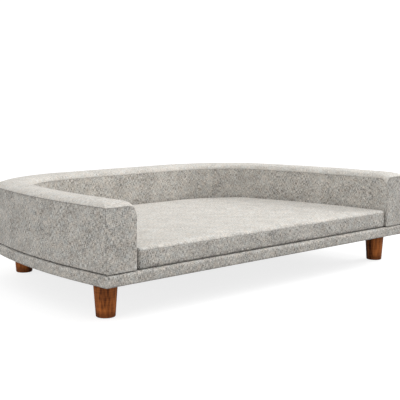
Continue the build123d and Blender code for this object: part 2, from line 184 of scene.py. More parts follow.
# %% Plan of the wall
wall_length = 1.287
side_straight, side_radius, side_turn = 0.119, 1.795, radians(15.6)
corner_radius, corner_end = 0.166, radians(45.7)
back_radius = 0.439
wall_thickness = 0.100


def toward(angle):
    """Step from an arc's centre out to the plan line where the left side has turned by angle."""
    return Vector((-cos(angle), sin(angle)))


side_centre = Vector((-wall_length / 2 + side_radius, side_straight))
corner_centre = side_centre + toward(side_turn) * (side_radius - corner_radius)
back_centre = corner_centre + toward(corner_end) * (corner_radius - back_radius)
wall_depth = (back_centre + toward(pi / 2) * back_radius).y
front_y, back_y = -wall_depth / 2, wall_depth / 2
for centre in (side_centre, corner_centre, back_centre):
    centre.y += front_y
base_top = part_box("base_cover")[1].z
seam_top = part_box("wall_outer_fabric")[1].z
print("wall depth", round(wall_depth, 4), "base top", round(base_top, 4), "outer seam", round(seam_top, 4))

# %% [markdown]
# Every cover of the sofa follows that line, as its upholsterer would mark it on the frame. A Blender curve
# could carry it, but each cover also needs to know which way is inward and how much cloth has been used so
# far. So the line is worked out once as a list of stations: a point on the outer face, the step inward there,
# and the length up to it.

# %% Stations along the plan
def run_of(start, end, spacing):
    """Evenly spread values from start to end, both included, no further apart than spacing."""
    count = max(1, ceil(abs(end - start) / spacing - 1e-9))
    return [start + (end - start) * i / count for i in range(count + 1)]


def plan_stations(spacing):
    """Stations (point, inward step, length) from the front of the left arm round to that of the right arm."""
    line = [(Vector((-wall_length / 2, front_y + y)), Vector((1, 0)))
            for y in run_of(0.0, side_straight, spacing)]
    arcs = [(side_centre, side_radius, 0, side_turn), (corner_centre, corner_radius, side_turn, corner_end),
            (back_centre, back_radius, corner_end, pi / 2)]
    for centre, radius, low, high in arcs:
        for angle in run_of(low, high, spacing / radius)[1:]:
            line.append((centre + toward(angle) * radius, -toward(angle)))
    line += [(Vector((x, back_y)), Vector((0, -1))) for x in run_of(back_centre.x, 0, spacing)[1:]]
    line += [(Vector((-p.x, p.y)), Vector((-n.x, n.y))) for p, n in reversed(line[:-1])]
    lengths = [0.0]
    for (a, _), (b, _) in zip(line, line[1:]):
        lengths.append(lengths[-1] + (b - a).length)
    return [(p, n, s) for (p, n), s in zip(line, lengths)]


print("plan length of the wall", round(plan_stations(0.01)[-1][2], 3), "m")

# %% [markdown]
# Where two panels are sewn together the cloth of each rolls over and dives into the seam, which leaves a fine
# dark groove between two soft lips. A bump texture could suggest it, but only a real groove holds shadow from
# every side. So the helpers below bend the end of any cross-section: they draw the lip as an arc that touches
# both the panel and the seam, then take the cloth inward as the seam allowance.

# %% Seam lips
def lip_start(half_angle, radius):
    """How far before the seam a lip leaves its panel."""
    return radius * (1 + cos(half_angle)) / sin(half_angle)


def seam_lip(end, along, inward, half_angle, radius, tuck=0.0015):
    """Points that carry a cross-section over its lip at end and down into the seam."""
    centre = end - along * lip_start(half_angle, radius) + inward * radius
    turns = run_of(0, pi - half_angle, radians(24))
    bend = [centre + (along * sin(a) - inward * cos(a)) * radius for a in turns]
    dive = inward * sin(half_angle) - along * cos(half_angle)
    return bend + [bend[-1] + dive * tuck]


def trim_end(points, length):
    """The points of a line with its last stretch of that length cut off."""
    points = list(points)
    while length > 0 and len(points) > 1:
        step = (points[-1] - points[-2]).length
        if step > length:
            points[-1] = points[-1].lerp(points[-2], length / step)
            return points
        points.pop()
        length -= step
    return points


def with_lips(section, first, last):
    """A cross-section with seam lips at its ends; first and last are (half angle, lip radius) or None."""
    points = [Vector(p) for p in section]
    if last:
        along = (points[-1] - points[-2]).normalized()
        inward = Vector((along.y, -along.x))
        points = trim_end(points, lip_start(*last))
        points += seam_lip(Vector(section[-1]), along, inward, *last)[1:]
    if first:
        flipped = [(-p.x, p.y) for p in reversed(points)]
        points = [Vector((-p.x, p.y)) for p in reversed(with_lips(flipped, None, first))]
    return points


print("a 2 mm lip on a square corner starts", round(lip_start(radians(45), 0.002) * 1000, 1), "mm before it")

# %% [markdown]
# A cover panel is one piece of cloth cut from a roll. It could be a curve with a bevel profile, but that
# gives no say over the threads. So a panel is a grid: one cross-section carried from station to station. Each
# grid point also gets a place on the flat cloth, in metres along the panel and up it, so that threads keep
# their real size and run level round every curve. A number at each point, the crease, is painted shade: it
# tells how much the cloth is darkened near a seam or in a gap between parts, where shade falls.

# %% Panels from cross-sections
weld_reach, painted_shade_width = 0.0002, 0.0015


def new_piece(mesh, name, body, smooth=True):
    """An object made from a finished mesh that rides on a body."""
    for face in mesh.faces:
        face.smooth = smooth
    data = bpy.data.meshes.new(name)
    mesh.to_mesh(data)
    piece = bpy.data.objects.new(name, data)
    bpy.context.scene.collection.objects.link(piece)
    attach(piece, body)
    return piece


def welded(piece):
    """Join the points of a piece that lie on each other, and turn all its faces outward."""
    mesh = bmesh.new()
    mesh.from_mesh(piece.data)
    bmesh.ops.remove_doubles(mesh, verts=mesh.verts, dist=weld_reach)
    bmesh.ops.recalc_face_normals(mesh, faces=mesh.faces)
    mesh.to_mesh(piece.data)


def cloth_object(name, rows, flat, body, closed=False, crease=None):
    """A smooth mesh piece from rows of points and their places on the flat cloth, riding on a body."""
    mesh = bmesh.new()
    layer = mesh.loops.layers.uv.new("flat_cloth")
    shade = mesh.verts.layers.float.new("crease")
    grid = [[mesh.verts.new(p) for p in row] for row in rows]
    for i, row in enumerate(crease or []):
        for j, value in enumerate(row):
            grid[i][j][shade] = value
    for i in range(len(rows) if closed else len(rows) - 1):
        k = (i + 1) % len(rows)
        for j in range(len(rows[0]) - 1):
            corners = ((i, j), (i, j + 1), (k, j + 1), (k, j))
            face = mesh.faces.new([grid[a][b] for a, b in corners])
            for loop, (a, b) in zip(face.loops, corners):
                place = Vector(flat[a][b])
                if closed and i == len(rows) - 1 and a == 0:
                    place = Vector(flat[-1][b]) * 2 - Vector(flat[-2][b])
                loop[layer].uv = place
    return new_piece(mesh, name, body)


def lengths_along(points):
    """Length along a line of points, up to each of them."""
    total = [0.0]
    for a, b in zip(points, points[1:]):
        total.append(total[-1] + (Vector(b) - Vector(a)).length)
    return total


def fading(x):
    """One where x is nought, and less and less as x grows."""
    return 2.718 ** -x


def painted_shade_at(distance, depth=0.45):
    """How much painted shade a crease gets at a distance from its seam: depth in it, then fading."""
    return depth * fading(max(0.0, distance) / painted_shade_width)


def ripple(point, size, height):
    """Slow uneven swell of stretched cloth: height in metres, size the distance between swells."""
    return height * noise.noise(Vector(point) / size)


print("a crease has faded to", round(painted_shade_at(0.002, 1.0), 2), "at 2 mm from its seam")

# %% [markdown]
# The fabric is a linen-look polyester: a plain weave of slubby yarns spun from light, mid and dark grey
# fibre. The eye gets a heather of small blotches, short streaks along both thread directions, a soft matte
# surface with a little sheen at grazing angles, and almost no gloss. A photograph of such cloth could be laid
# on as an image. Noise drawn out along each thread direction needs no image, never repeats and stays sharp
# from close by. Real threads here are about 0.7 mm apart, too fine for a picture 400 pixels wide, so the
# yarns are drawn 1.3 mm wide, with slubs of 9 to 10 mm. Hand-wide patches of calmer and livelier weave come
# from the way such yarn is spun.

# %% Linen-look fabric
def linen_look(name, light, mid, dark, contrast):
    """Woven slub fabric; contrast is how strongly the yarns differ. Each Scale counts details per metre."""
    material, tree, shader = new_material(name)
    place = add_node(tree, "ShaderNodeTexCoord").outputs["UV"]
    upright_width, upright_slub, level_width, level_slub = 0.0013, 0.0100, 0.0012, 0.0090
    yarns = []
    for stretch in ((1 / upright_width, 1 / upright_slub, 1.0), (1 / level_slub, 1 / level_width, 1.0)):
        squeezed = add_node(tree, "ShaderNodeMapping", {"Vector": place, "Scale": stretch})
        yarns.append(add_node(tree, "ShaderNodeTexNoise", {"Vector": squeezed.outputs[0], "Scale": 1.0,
                                                           "Detail": 2.0}).outputs[0])
    flecks = add_node(tree, "ShaderNodeTexNoise", {"Vector": place, "Scale": 600.0, "Detail": 2.0,
                                                   "Roughness": 0.7})
    clouds = add_node(tree, "ShaderNodeTexNoise", {"Vector": place, "Scale": 16.0, "Detail": 5.0,
                                                   "Roughness": 0.7})
    upright, fleck, cloud = 1.3, 0.9, 0.5     # shares of the pattern; level yarns have a share of 1
    middle = (upright + 1 + fleck + cloud) / 2
    both = add_node(tree, "ShaderNodeMath", {0: yarns[0], 1: upright, 2: yarns[1]}, operation="MULTIPLY_ADD")
    speckle = add_node(tree, "ShaderNodeMath", {0: flecks.outputs[0], 1: fleck, 2: both.outputs[0]},
                       operation="MULTIPLY_ADD")
    heather = add_node(tree, "ShaderNodeMath", {0: clouds.outputs[0], 1: cloud, 2: speckle.outputs[0]},
                       operation="MULTIPLY_ADD")
    patches = add_node(tree, "ShaderNodeTexNoise", {"Vector": place, "Scale": 11.0, "Detail": 2.0})
    spread = add_node(tree, "ShaderNodeMapRange", {"Value": patches.outputs[0], "From Min": 0.35,
                                                   "From Max": 0.65, "To Min": 0.34 / contrast,
                                                   "To Max": 0.19 / contrast})
    low = add_node(tree, "ShaderNodeMath", {0: middle, 1: spread.outputs[0]}, operation="SUBTRACT")
    high = add_node(tree, "ShaderNodeMath", {0: middle, 1: spread.outputs[0]}, operation="ADD")
    tone = add_node(tree, "ShaderNodeMapRange", {"Value": heather.outputs[0], "From Min": low.outputs[0],
                                                 "From Max": high.outputs[0]})
    pale = add_node(tree, "ShaderNodeMapRange", {"Value": tone.outputs[0], "From Min": 0.5, "From Max": 1.0})
    deep = add_node(tree, "ShaderNodeMapRange", {"Value": tone.outputs[0], "From Min": 0.5, "From Max": 0.0})
    yarn = add_node(tree, "ShaderNodeMix", {0: pale.outputs[0], 6: linear(mid), 7: linear(light)},
                    data_type="RGBA")
    yarn = add_node(tree, "ShaderNodeMix", {0: deep.outputs[0], 6: yarn.outputs[2], 7: linear(dark)},
                    data_type="RGBA")
    lots = add_node(tree, "ShaderNodeTexNoise", {"Vector": place, "Scale": 50.0, "Detail": 5.0,
                                                 "Roughness": 0.75})
    dye = add_node(tree, "ShaderNodeMapRange", {"Value": lots.outputs[0], "From Min": 0.35, "From Max": 0.65})
    cast = add_node(tree, "ShaderNodeMix", {0: dye.outputs[0], 6: linear("#FFF8F1"), 7: linear("#F7FBFD")},
                    data_type="RGBA")
    dyed = add_node(tree, "ShaderNodeMix", {0: 1.0, 6: yarn.outputs[2], 7: cast.outputs[2]},
                    data_type="RGBA", blend_type="MULTIPLY")
    # Painted shade: the crease attribute darkens the cloth towards #3A3632 at seams and in gaps, where shade
    # falls.
    painted_shade_amount = add_node(tree, "ShaderNodeAttribute", attribute_name="crease")
    painted_shade_strength = add_node(tree, "ShaderNodeMath", {0: painted_shade_amount.outputs["Fac"], 1: 0.8}, operation="MULTIPLY")
    colour_with_painted_shade = add_node(tree, "ShaderNodeMix", {0: painted_shade_strength.outputs[0], 6: dyed.outputs[2], 7: linear("#3A3632")},
                      data_type="RGBA")
    relief = add_node(tree, "ShaderNodeBump", {"Height": heather.outputs[0], "Strength": 0.5,
                                               "Distance": 0.0008})
    feed(tree, shader, {"Base Color": colour_with_painted_shade.outputs[2], "Normal": relief.outputs[0], "Roughness": 0.92,
                        "Specular IOR Level": 0.2, "Sheen Weight": 0.12, "Sheen Roughness": 0.5})
    return material


linen_sides = linen_look("slub_linen_weave", "#DAD7D1", "#AFACA7", "#66635F", 1.25)
# The tops get a lighter, calmer copy of the same cloth: painted light, for the light that falls on the top
# faces.
linen_lit_tops = linen_look("slub_linen_weave_painted_top_light", "#DAD8D3", "#C0BDB8", "#96938E", 1.0)
print("fabric ready:", linen_sides.name, "and", linen_lit_tops.name)

# %% [markdown]
# The wall's cover has three long panels: an upright outer one, a crowned top one and an upright inner one.
# The crown could be sculpted, but foam under stretched cloth takes an even round, so it is drawn from three
# arcs that touch without a kink: an outer shoulder, a shallow crown and an inner shoulder. At the front of
# each arm the top rolls down to meet the flat front panel.

# %% Cross-section of the wall's top
crown_lean, outer_lean, inner_lean = radians(14), radians(50), radians(85)
outer_shoulder, inner_shoulder = 0.032, 0.018
outer_run = outer_shoulder * (sin(outer_lean) - sin(crown_lean))
inner_run = inner_shoulder * (sin(inner_lean) - sin(crown_lean))
crown_radius = (wall_thickness - outer_run - inner_run) / (2 * sin(crown_lean))


def lean(angle):
    """Step out of an arc's centre where the surface leans by angle, in depth and height."""
    return Vector((-sin(angle), cos(angle)))


shoulder_centre = lean(outer_lean) * -outer_shoulder
crown_centre = shoulder_centre + lean(crown_lean) * (outer_shoulder - crown_radius)
inner_centre = crown_centre + lean(-crown_lean) * (crown_radius - inner_shoulder)
crown_height = crown_centre.y + crown_radius
inner_seam = inner_centre + lean(-inner_lean) * inner_shoulder
top_section = [shoulder_centre + lean(a) * outer_shoulder for a in run_of(outer_lean, crown_lean, radians(6))]
top_section += [crown_centre + lean(a) * crown_radius
                for a in run_of(crown_lean, -crown_lean, radians(1.6))][1:]
top_section += [inner_centre + lean(a) * inner_shoulder
                for a in run_of(-crown_lean, -inner_lean, radians(9))][1:]
nose_radius, nose_edge = 0.135, 0.0005
corner_width, corner_height = 0.022, 0.030
rim_width = 0.004        # so near to the inner seam the crown counts as level with it
nose_run = sqrt(nose_radius ** 2 - (nose_radius - crown_height + nose_edge) ** 2)


def soft_min(a, b, blend=0.003):
    """The smaller of two heights, with the crease between them rounded."""
    h = max(0.0, blend - abs(a - b)) / blend
    return min(a, b) - h * h * blend / 4


def crown_over(depth):
    """Height of the crowned top above the outer seam at a depth into the wall."""
    for a, b in zip(top_section, top_section[1:]):
        if a.x <= depth <= b.x:
            return a.y + (b.y - a.y) * (depth - a.x) / (b.x - a.x)
    return inner_seam.y if depth > wall_thickness / 2 else 0.0


def nose_height(depth, from_front):
    """Greatest height that the rolled front end of the arm allows; its inner top corner is rounded."""
    back = max(0.0, nose_run - from_front)
    roll_height = crown_height - nose_radius + sqrt(max(0.0, nose_radius ** 2 - back ** 2))
    into = max(0.0, depth - (wall_thickness - corner_width)) / corner_width
    fall = corner_height * (1 - sqrt(max(0.0, 1 - into ** 2)))
    return roll_height - fall * max(0.0, 1 - from_front / nose_run) ** 2


def nose_drop(depth, from_front):
    """How far the rolled front end of the arm lowers the crowned top."""
    depth = wall_thickness if depth > wall_thickness - rim_width else depth
    level = crown_over(depth)
    return soft_min(level, nose_height(depth, from_front)) - level


print("crown height", round(crown_height * 1000, 2), "mm, nose run", round(nose_run * 1000, 1), "mm")

# %% [markdown]
# The three long panels are sewn edge to edge and then pulled over the foam, so each bends over a lip at its
# two long edges and at the arm fronts. One swept profile with sharp edges could stand for all three, but the
# seams are what makes upholstery look sewn. So each panel is swept on its own, dives into its seams, and
# swells a little unevenly between them, as stretched cloth does.

# %% Wall panels
foot_bend, corner_bend = (radians(45), 0.002), (radians(45), 0.0010)     # half angle and lip radius
outer_bend, inner_bend = (radians(70), 0.0016), (radians(87.5), 0.0016)
panel_spacing, row_spacing = 0.007, 0.008
wall_foot = base_top - seam_top + 0.0004
front_steps = [(q.x, q.y) for q in reversed(seam_lip(Vector((0, 0)), Vector((-1, 0)), Vector((0, 1)),
                                                     *corner_bend))]
flat_start = front_steps[-1][0] + 0.002     # where a panel lies flat again behind its corner lip
lip_cloth = 0.0022       # cloth that a lip uses up, so that a seam's shade ends on its panel
roll_reach = 0.09        # how far below the outer seam a panel starts to follow the roll of the arm's front


def inward_steps(section):
    """For each point of a cross-section, the step straight into the wall behind it."""
    steps = []
    for i in range(len(section)):
        run = Vector(section[min(i + 1, len(section) - 1)]) - Vector(section[max(i - 1, 0)])
        steps.append(Vector((run.y, -run.x)).normalized())
    return steps


def swept_panel(name, section, replaced, shades, nosed=False):
    """A wall cover from one cross-section in depth and height, with lips where it meets the arm fronts.

    shades is how dark the seams at its first and last edge are. Where nosed, its top follows the rolled
    front end of the arm."""
    stations = plan_stations(panel_spacing)
    first, last = stations[0], stations[-1]
    length = last[2]
    left = [(first[0] + Vector((0, a)), first[1], a, b) for a, b in front_steps]
    right = [(last[0] + Vector((0, a)), last[1], length - a, b) for a, b in reversed(front_steps)]
    middle = [(p, n, s, 0.0) for p, n, s in stations if flat_start < s < length - flat_start]
    steps, ups = inward_steps(section), lengths_along(section)
    rows, flat, crease = [], [], []
    for p, n, s, sunk in left + middle + right:
        row = []
        # Painted shade: darker at the two long seams, at the corners with the arm fronts and along the foot
        # where the panel meets the base.
        at_ends = painted_shade_at(min(s, length - s), 0.25)
        crease.append([max(painted_shade_at(u - lip_cloth, shades[0]), painted_shade_at(ups[-1] - u - lip_cloth, shades[1]),
                           at_ends, painted_shade_at(seam_top + q.y - base_top - 0.0012, 0.9))
                       for u, q in zip(ups, section)])
        for q, step in zip(section, steps):
            at = q + step * sunk
            if nosed:
                share = max(0.0, min(1.0, (q.y + roll_reach) / (inner_seam.y + roll_reach)))
                at.y += nose_drop(q.x, p.y - front_y) * share
            at = at + step * ripple((p.x, p.y, q.y * 2), size=0.09, height=0.0005)
            row.append((p.x + n.x * at.x, p.y + n.y * at.x, seam_top + at.y))
        rows.append(row)
        flat.append([(s, u) for u in ups])
    panel = cloth_object(name, rows, flat, "sofa", crease=crease)
    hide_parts(*replaced)
    print(name, len(panel.data.polygons), "faces")
    return panel


outer_section = with_lips([(0.0, z) for z in run_of(wall_foot, 0.0, row_spacing)], foot_bend, outer_bend)
crown_section = with_lips(top_section, outer_bend, inner_bend)
inner_section = with_lips([(wall_thickness, z) for z in run_of(inner_seam.y, wall_foot, row_spacing)],
                          inner_bend, foot_bend)
outer_panel = swept_panel("wall_cover_outer", outer_section, ["wall_outer_fabric", "wall_outer_foam"],
                          (0.7, 0.7))
crown_panel = swept_panel("wall_cover_crown", crown_section, ["wall_top_fabric", "wall_top_foam"],
                          (0.7, 0.25), nosed=True)
inner_panel = swept_panel("wall_cover_inner", inner_section,
                          ["wall_inner_fabric", "wall_inner_foam_left", "wall_inner_foam_back",
                           "wall_inner_foam_right"], (0.25, 0.7), nosed=True)
outer_panel.data.materials.append(linen_sides)
inner_panel.data.materials.append(linen_sides)
crown_panel.data.materials.append(linen_lit_tops)

# %% [markdown]
# Each arm ends in a flat front panel, cut to the wall's outline: straight up the outside, level along the top
# and rounded over the inner shoulder. One flat face with a bevel could stand for it. A grid whose four edges
# end in the same seam lips lets the cloth swell a little over its foam and meets the long panels in real
# seams.

# %% Arm fronts
def arm_front(name, side, replaced, levels=30):
    """The front panel of the left (-1) or right (+1) arm, with so many levels of cloth between its lips."""
    across = front_steps + [(d, 0.0) for d in run_of(flat_start, wall_thickness - flat_start, 0.004)]
    across += [(wall_thickness - a, b) for a, b in reversed(front_steps)]
    rows, flat, crease = [], [], []
    for depth, sunk_x in across:
        level = crown_over(depth) + nose_drop(depth, 0.0)
        low, high = wall_foot + flat_start, level - flat_start
        up = [(wall_foot + a, b) for a, b in front_steps]
        up += [(low + (high - low) * i / levels, 0.0) for i in range(levels + 1)]
        up += [(level - a, b) for a, b in reversed(front_steps)]
        row = []
        for z, sunk_z in up:
            x = side * (wall_length / 2 - depth)
            swell = 0.0004 + ripple((x, z * 2, 5.0), size=0.06, height=0.0004)
            row.append((x, front_y + swell + max(sunk_x, sunk_z), seam_top + z))
        rows.append(row)
        flat.append([(-side * depth, z) for z, _ in up])
        # Painted shade: darker at the side seams, under the top seam and along the foot where the panel meets
        # the base.
        at_sides = painted_shade_at(min(depth, wall_thickness - depth), 0.25)
        crease.append([max(at_sides, painted_shade_at(level - z - 0.0008, 0.6), painted_shade_at(z - wall_foot, 0.9))
                       for z, _ in up])
    if side < 0:
        rows, flat, crease = rows[::-1], flat[::-1], crease[::-1]
    panel = cloth_object(name, rows, flat, "sofa", crease=crease)
    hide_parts(*replaced)
    panel.data.materials.append(linen_sides)
    print(name, len(panel.data.polygons), "faces")


for hand, facing in (("left", -1), ("right", 1)):
    arm_front(f"arm_front_cover_{hand}", facing, [f"arm_front_fabric_{hand}", f"arm_front_foam_{hand}"])

# %% [markdown]
# The base is a plywood deck on rails, wrapped in the same cloth over a thin layer of padding. Its cover runs
# right round the D-shaped plan: flat on top, rolled over the edge, down the side and under to a stapled hem.
# A bevelled slab would have the right outline, but its threads could not run level round the side, so the
# side is swept as one closed loop of stations, with a sewn corner at each end of the straight front.

# %% Base cover
base_low, base_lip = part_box("base_cover")[0].z, 0.002
corner_pinch = 0.0010        # how far the sewn front corners are drawn in
flat_depth = 0.002           # further in than this the cloth lies flat on the deck, further out it swells


def loop_stations(spacing):
    """Closed loop of stations round the wall's plan and along the open front."""
    around = plan_stations(spacing)
    length, half = around[-1][2], wall_length / 2
    corners = [radians(a) for a in (15, 30, 45, 60, 75)]
    right = [(around[-1][0], Vector((-cos(a), sin(a))), length) for a in corners]
    left = [(around[0][0], Vector((sin(a), cos(a))), length + wall_length) for a in corners]
    front = [(Vector((x, front_y)), Vector((0, 1)), length + half - x) for x in run_of(half, -half, spacing)]
    return around + right + front + left


def ring_point(point, inward, depth):
    """A station moved inward by depth, kept inside the straight front and the two square corners."""
    x, y = point.x + inward.x * depth, point.y + inward.y * depth
    if depth > 0:
        y = max(y, front_y + depth)
        if point.y < front_y + 0.0001:
            x = max(-wall_length / 2 + depth, min(wall_length / 2 - depth, x))
    return Vector((x, y))


edge_radius, under_radius = 0.009, 0.006
edge_start = edge_radius - base_lip
base_section = [(d, base_top) for d in (0.090, 0.060, 0.035, 0.015)]
base_section += [(edge_start - edge_radius * sin(radians(a)), base_top - edge_radius * (1 - cos(radians(a))))
                 for a in range(0, 91, 10)]
base_section += [(-base_lip, z) for z in run_of(base_top - edge_radius, base_low + under_radius, 0.005)[1:]]
base_section += [(-base_lip + under_radius * (1 - cos(radians(a))),
                  base_low + under_radius * (1 - sin(radians(a)))) for a in range(15, 91, 15)]
base_section += [(d, base_low) for d in (0.005, 0.008, 0.014, 0.0195, 0.0225)]
base_section += [(0.0232, base_low + 0.0006)]      # the cut edge of the hem, folded up


def base_cover():
    """The base's cloth as one closed band with a flat top sheet."""
    stations = loop_stations(panel_spacing)
    ups = lengths_along([Vector(q) for q in base_section])
    mesh = bmesh.new()
    layer = mesh.loops.layers.uv.new("flat_cloth")
    shade = mesh.verts.layers.float.new("crease")
    grid = []
    for p, n, s in stations:
        at_corner = abs(abs(n.x) - abs(n.y)) < 0.01 and p.y < front_y + 0.0001
        row = []
        for depth, z in base_section:
            if depth <= flat_depth:
                pinch = corner_pinch if at_corner else 0.0
                depth += pinch + ripple((p.x, p.y, z * 3), size=0.07, height=0.0004)
            at = ring_point(p, n, depth)
            row.append(mesh.verts.new((at.x, at.y, z)))
            # Painted shade: a strip of the top just behind the rolled edge, where the wall and the cushion rest
            # on it, and the sewn front corners.
            under_wall = edge_start - 0.001 < depth < 0.02 and z > base_top - 0.001
            row[-1][shade] = 0.3 if at_corner and z < base_top else 0.5 if under_wall else 0.0
        grid.append(row)
    for i in range(len(stations)):
        k = (i + 1) % len(stations)
        start, end = stations[i][2], stations[k][2] if k else stations[-1][2] + 0.0001
        for j in range(len(base_section) - 1):
            face = mesh.faces.new((grid[i][j], grid[k][j], grid[k][j + 1], grid[i][j + 1]))
            places = ((start, ups[j]), (end, ups[j]), (end, ups[j + 1]), (start, ups[j + 1]))
            for loop, (s, u) in zip(face.loops, places):
                loop[layer].uv = (s, -u)
    sheet = mesh.faces.new([row[0] for row in grid])
    for loop in sheet.loops:
        loop[layer].uv = (loop.vert.co.x, loop.vert.co.y)
    bmesh.ops.triangulate(mesh, faces=[sheet])
    bmesh.ops.remove_doubles(mesh, verts=mesh.verts, dist=0.00001)
    bmesh.ops.recalc_face_normals(mesh, faces=mesh.faces)
    return new_piece(mesh, "base_cover_cloth", "sofa")


base_piece = base_cover()
base_piece.data.materials.append(linen_sides)
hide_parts("base_cover", "base_edge_padding")
print(base_piece.name, len(base_piece.data.polygons), "faces")

# %% [markdown]
# The cushion is a box cushion: a top panel, a band and a bottom panel sewn round two layers of foam. It fills
# the U between the arms, with a few millimetres to spare so that it lifts out. Its outline could be drawn by
# itself, but it was cut to fit the wall, so it is taken from the wall's plan, moved inward by the wall's
# thickness and the gap, and closed along the front with two small round corners.

# %% Cushion outline
cushion_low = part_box("cushion_bottom_panel")[0].z
cushion_thickness, cushion_setback = 0.056, 0.001
side_gap, rear_gap, cushion_corner = 0.0042, 0.0065, 0.012
column_spacing = 0.009


def cushion_outline():
    """Closed loop of points round the cushion, each with its step inward."""
    depth = wall_thickness + side_gap
    front = front_y + cushion_setback
    half = wall_length / 2 - depth
    r = cushion_corner
    points = []
    for p, n, s in plan_stations(column_spacing):
        x, y = p.x + n.x * depth, p.y + n.y * depth - (rear_gap - side_gap)
        if y > front + r + 0.002:
            points.append((Vector((x, y)), n))
    right = [(Vector((half - r + r * cos(radians(a)), front + r - r * sin(radians(a)))),
              Vector((-cos(radians(a)), sin(radians(a))))) for a in range(0, 91, 15)]
    left = [(Vector((-q.x, q.y)), Vector((-n.x, n.y))) for q, n in reversed(right)]
    straight = [(Vector((x, front)), Vector((0, 1))) for x in run_of(half - r, r - half, column_spacing)[1:-1]]
    return points + right + straight + left


def cushion_spine(point):
    """The place on the cushion's middle line that the rings of its top and bottom close on.

    These places keep to one grid of the columns' spacing, so that the front and the rear half join there."""
    x = max(-0.27, min(0.27, point.x * 0.55))
    return Vector((round(x / column_spacing) * column_spacing, 0.02))


outline = cushion_outline()
print("cushion outline of", len(outline), "points")

# %% [markdown]
# A stuffed cover is round where it turns over the foam and a little higher in the middle. A box with a bevel
# could be crowned with a lattice. Here the whole cover is drawn as closed rings instead: from the middle of
# the bottom out to its edge, up the band, and in again over the top. The same columns then run through all
# three panels, which keeps the seams level and gives the cloth simulation an even grid.

# %% Cushion rings
top_roll, under_roll = 0.0085, 0.0100     # both less than the corner radius, or rings would fold over there
cushion_top = cushion_low + cushion_thickness + 0.0008
crown_rise, crown_fade = 0.0022, 0.022
shrink = 0.0012                           # room that the pressure inside fills again
ring_heights = []                         # (inset, height, share of the way to the spine)
for share in run_of(1.0, 0.0, 1 / 22):
    ring_heights.append((under_roll, cushion_low, share))
for a in range(15, 91, 15):
    ring_heights.append((under_roll * (1 - sin(radians(a))),
                         cushion_low + under_roll * (1 - cos(radians(a))), 0.0))
bottom_seam_ring = len(ring_heights) - 1
for z in run_of(cushion_low + under_roll, cushion_top - top_roll, 0.0055)[1:]:
    ring_heights.append((0.0, z, 0.0))
top_seam_ring = len(ring_heights) - 1
for a in range(15, 91, 15):
    ring_heights.append((top_roll * (1 - cos(radians(a))), cushion_top - top_roll * (1 - sin(radians(a))), 0.0))
for share in run_of(0.0, 1.0, 1 / 22)[1:]:
    ring_heights.append((top_roll, cushion_top, share))

drawn = []
for inset, height, share in ring_heights:
    ring = []
    for p, n in outline:
        at = p + n * (inset + shrink)
        if share > 0:
            at = at.lerp(cushion_spine(p), share)
        crown = 0.0
        if height >= cushion_top:
            crown = crown_rise * (1 - fading((at - p).length / crown_fade - top_roll / crown_fade))
        ring.append(Vector((at.x, at.y, height + max(0.0, crown))))
    drawn.append(ring)
print("cushion rings", len(drawn), "of", len(drawn[0]), "points")

# %% [markdown]
# The foam pushes the cloth out, so the panels belly between their seams. That belly could be guessed with one
# more arc, but how far cloth gives depends on the whole form. So Blender's cloth simulation blows the closed
# rings up with a little pressure inside, while both sewn edges are held. Only its result is kept: plain
# points, with no simulation left in the scene.

# %% Cushion simulation
def blown_up(rings, pressure, cap, frames=15, passes=40):
    """The rings after cloth simulation with pressure inside, held fast along both sewn edges.

    Points that lie on each other are welded first, because the solver gives up on faces without area. No
    point moves further than cap. Between the edges and the spine, passes of smoothing share each move with
    its neighbours, so that the narrow columns that run in from the corners leave no crease."""
    mesh = bmesh.new()
    grid = [[mesh.verts.new(p) for p in ring] for ring in rings]
    count = len(rings[0])
    for lower, upper in zip(grid, grid[1:]):
        for j in range(count):
            k = (j + 1) % count
            mesh.faces.new((lower[j], upper[j], upper[k], lower[k]))
    doubles = bmesh.ops.find_doubles(mesh, verts=mesh.verts, dist=weld_reach)["targetmap"]
    grid = [[doubles.get(vert, vert) for vert in ring] for ring in grid]
    bmesh.ops.weld_verts(mesh, targetmap=doubles)
    bmesh.ops.recalc_face_normals(mesh, faces=mesh.faces)
    mesh.verts.index_update()
    numbers = [[vert.index for vert in ring] for ring in grid]
    data = bpy.data.meshes.new("cushion_trial")
    mesh.to_mesh(data)
    before = [v.co.copy() for v in data.vertices]
    trial = bpy.data.objects.new("cushion_trial", data)
    bpy.context.scene.collection.objects.link(trial)
    sewn = trial.vertex_groups.new(name="sewn_edges")
    sewn.add(sorted({i for seam in (bottom_seam_ring, top_seam_ring) for i in numbers[seam]}), 1.0, "REPLACE")
    cloth = trial.modifiers.new("cloth", "CLOTH")
    cloth.settings.quality = 5
    cloth.settings.mass = 0.3
    cloth.settings.tension_stiffness = 80
    cloth.settings.compression_stiffness = 80
    cloth.settings.bending_stiffness = 10
    cloth.settings.vertex_group_mass = sewn.name
    cloth.settings.use_pressure = True
    cloth.settings.uniform_pressure_force = pressure
    cloth.settings.effector_weights.gravity = 0.0
    cloth.point_cache.frame_end = frames
    for step in range(1, frames + 1):
        bpy.context.scene.frame_set(step)
    solved = trial.evaluated_get(bpy.context.evaluated_depsgraph_get()).data
    moves = [v.co - start for v, start in zip(solved.vertices, before)]
    bpy.data.objects.remove(trial)
    bpy.context.scene.frame_set(1)
    result = []
    for ring, at, (_, _, share) in zip(rings, numbers, ring_heights):
        steps = [moves[i] for i in at]
        steps = [step * (cap * (1 - fading(step.length / cap)) / max(step.length, 1e-9)) for step in steps]
        for _ in range(passes if 0 < share < 1 else 0):
            steps = [(steps[j - 1] + steps[j] * 2 + steps[(j + 1) % count]) / 4 for j in range(count)]
        level = max(0.0, 1 - share * 8)
        steps = [Vector((step.x * level, step.y * level, step.z)) for step in steps]
        result.append([p + step for p, step in zip(ring, steps)])
    return result


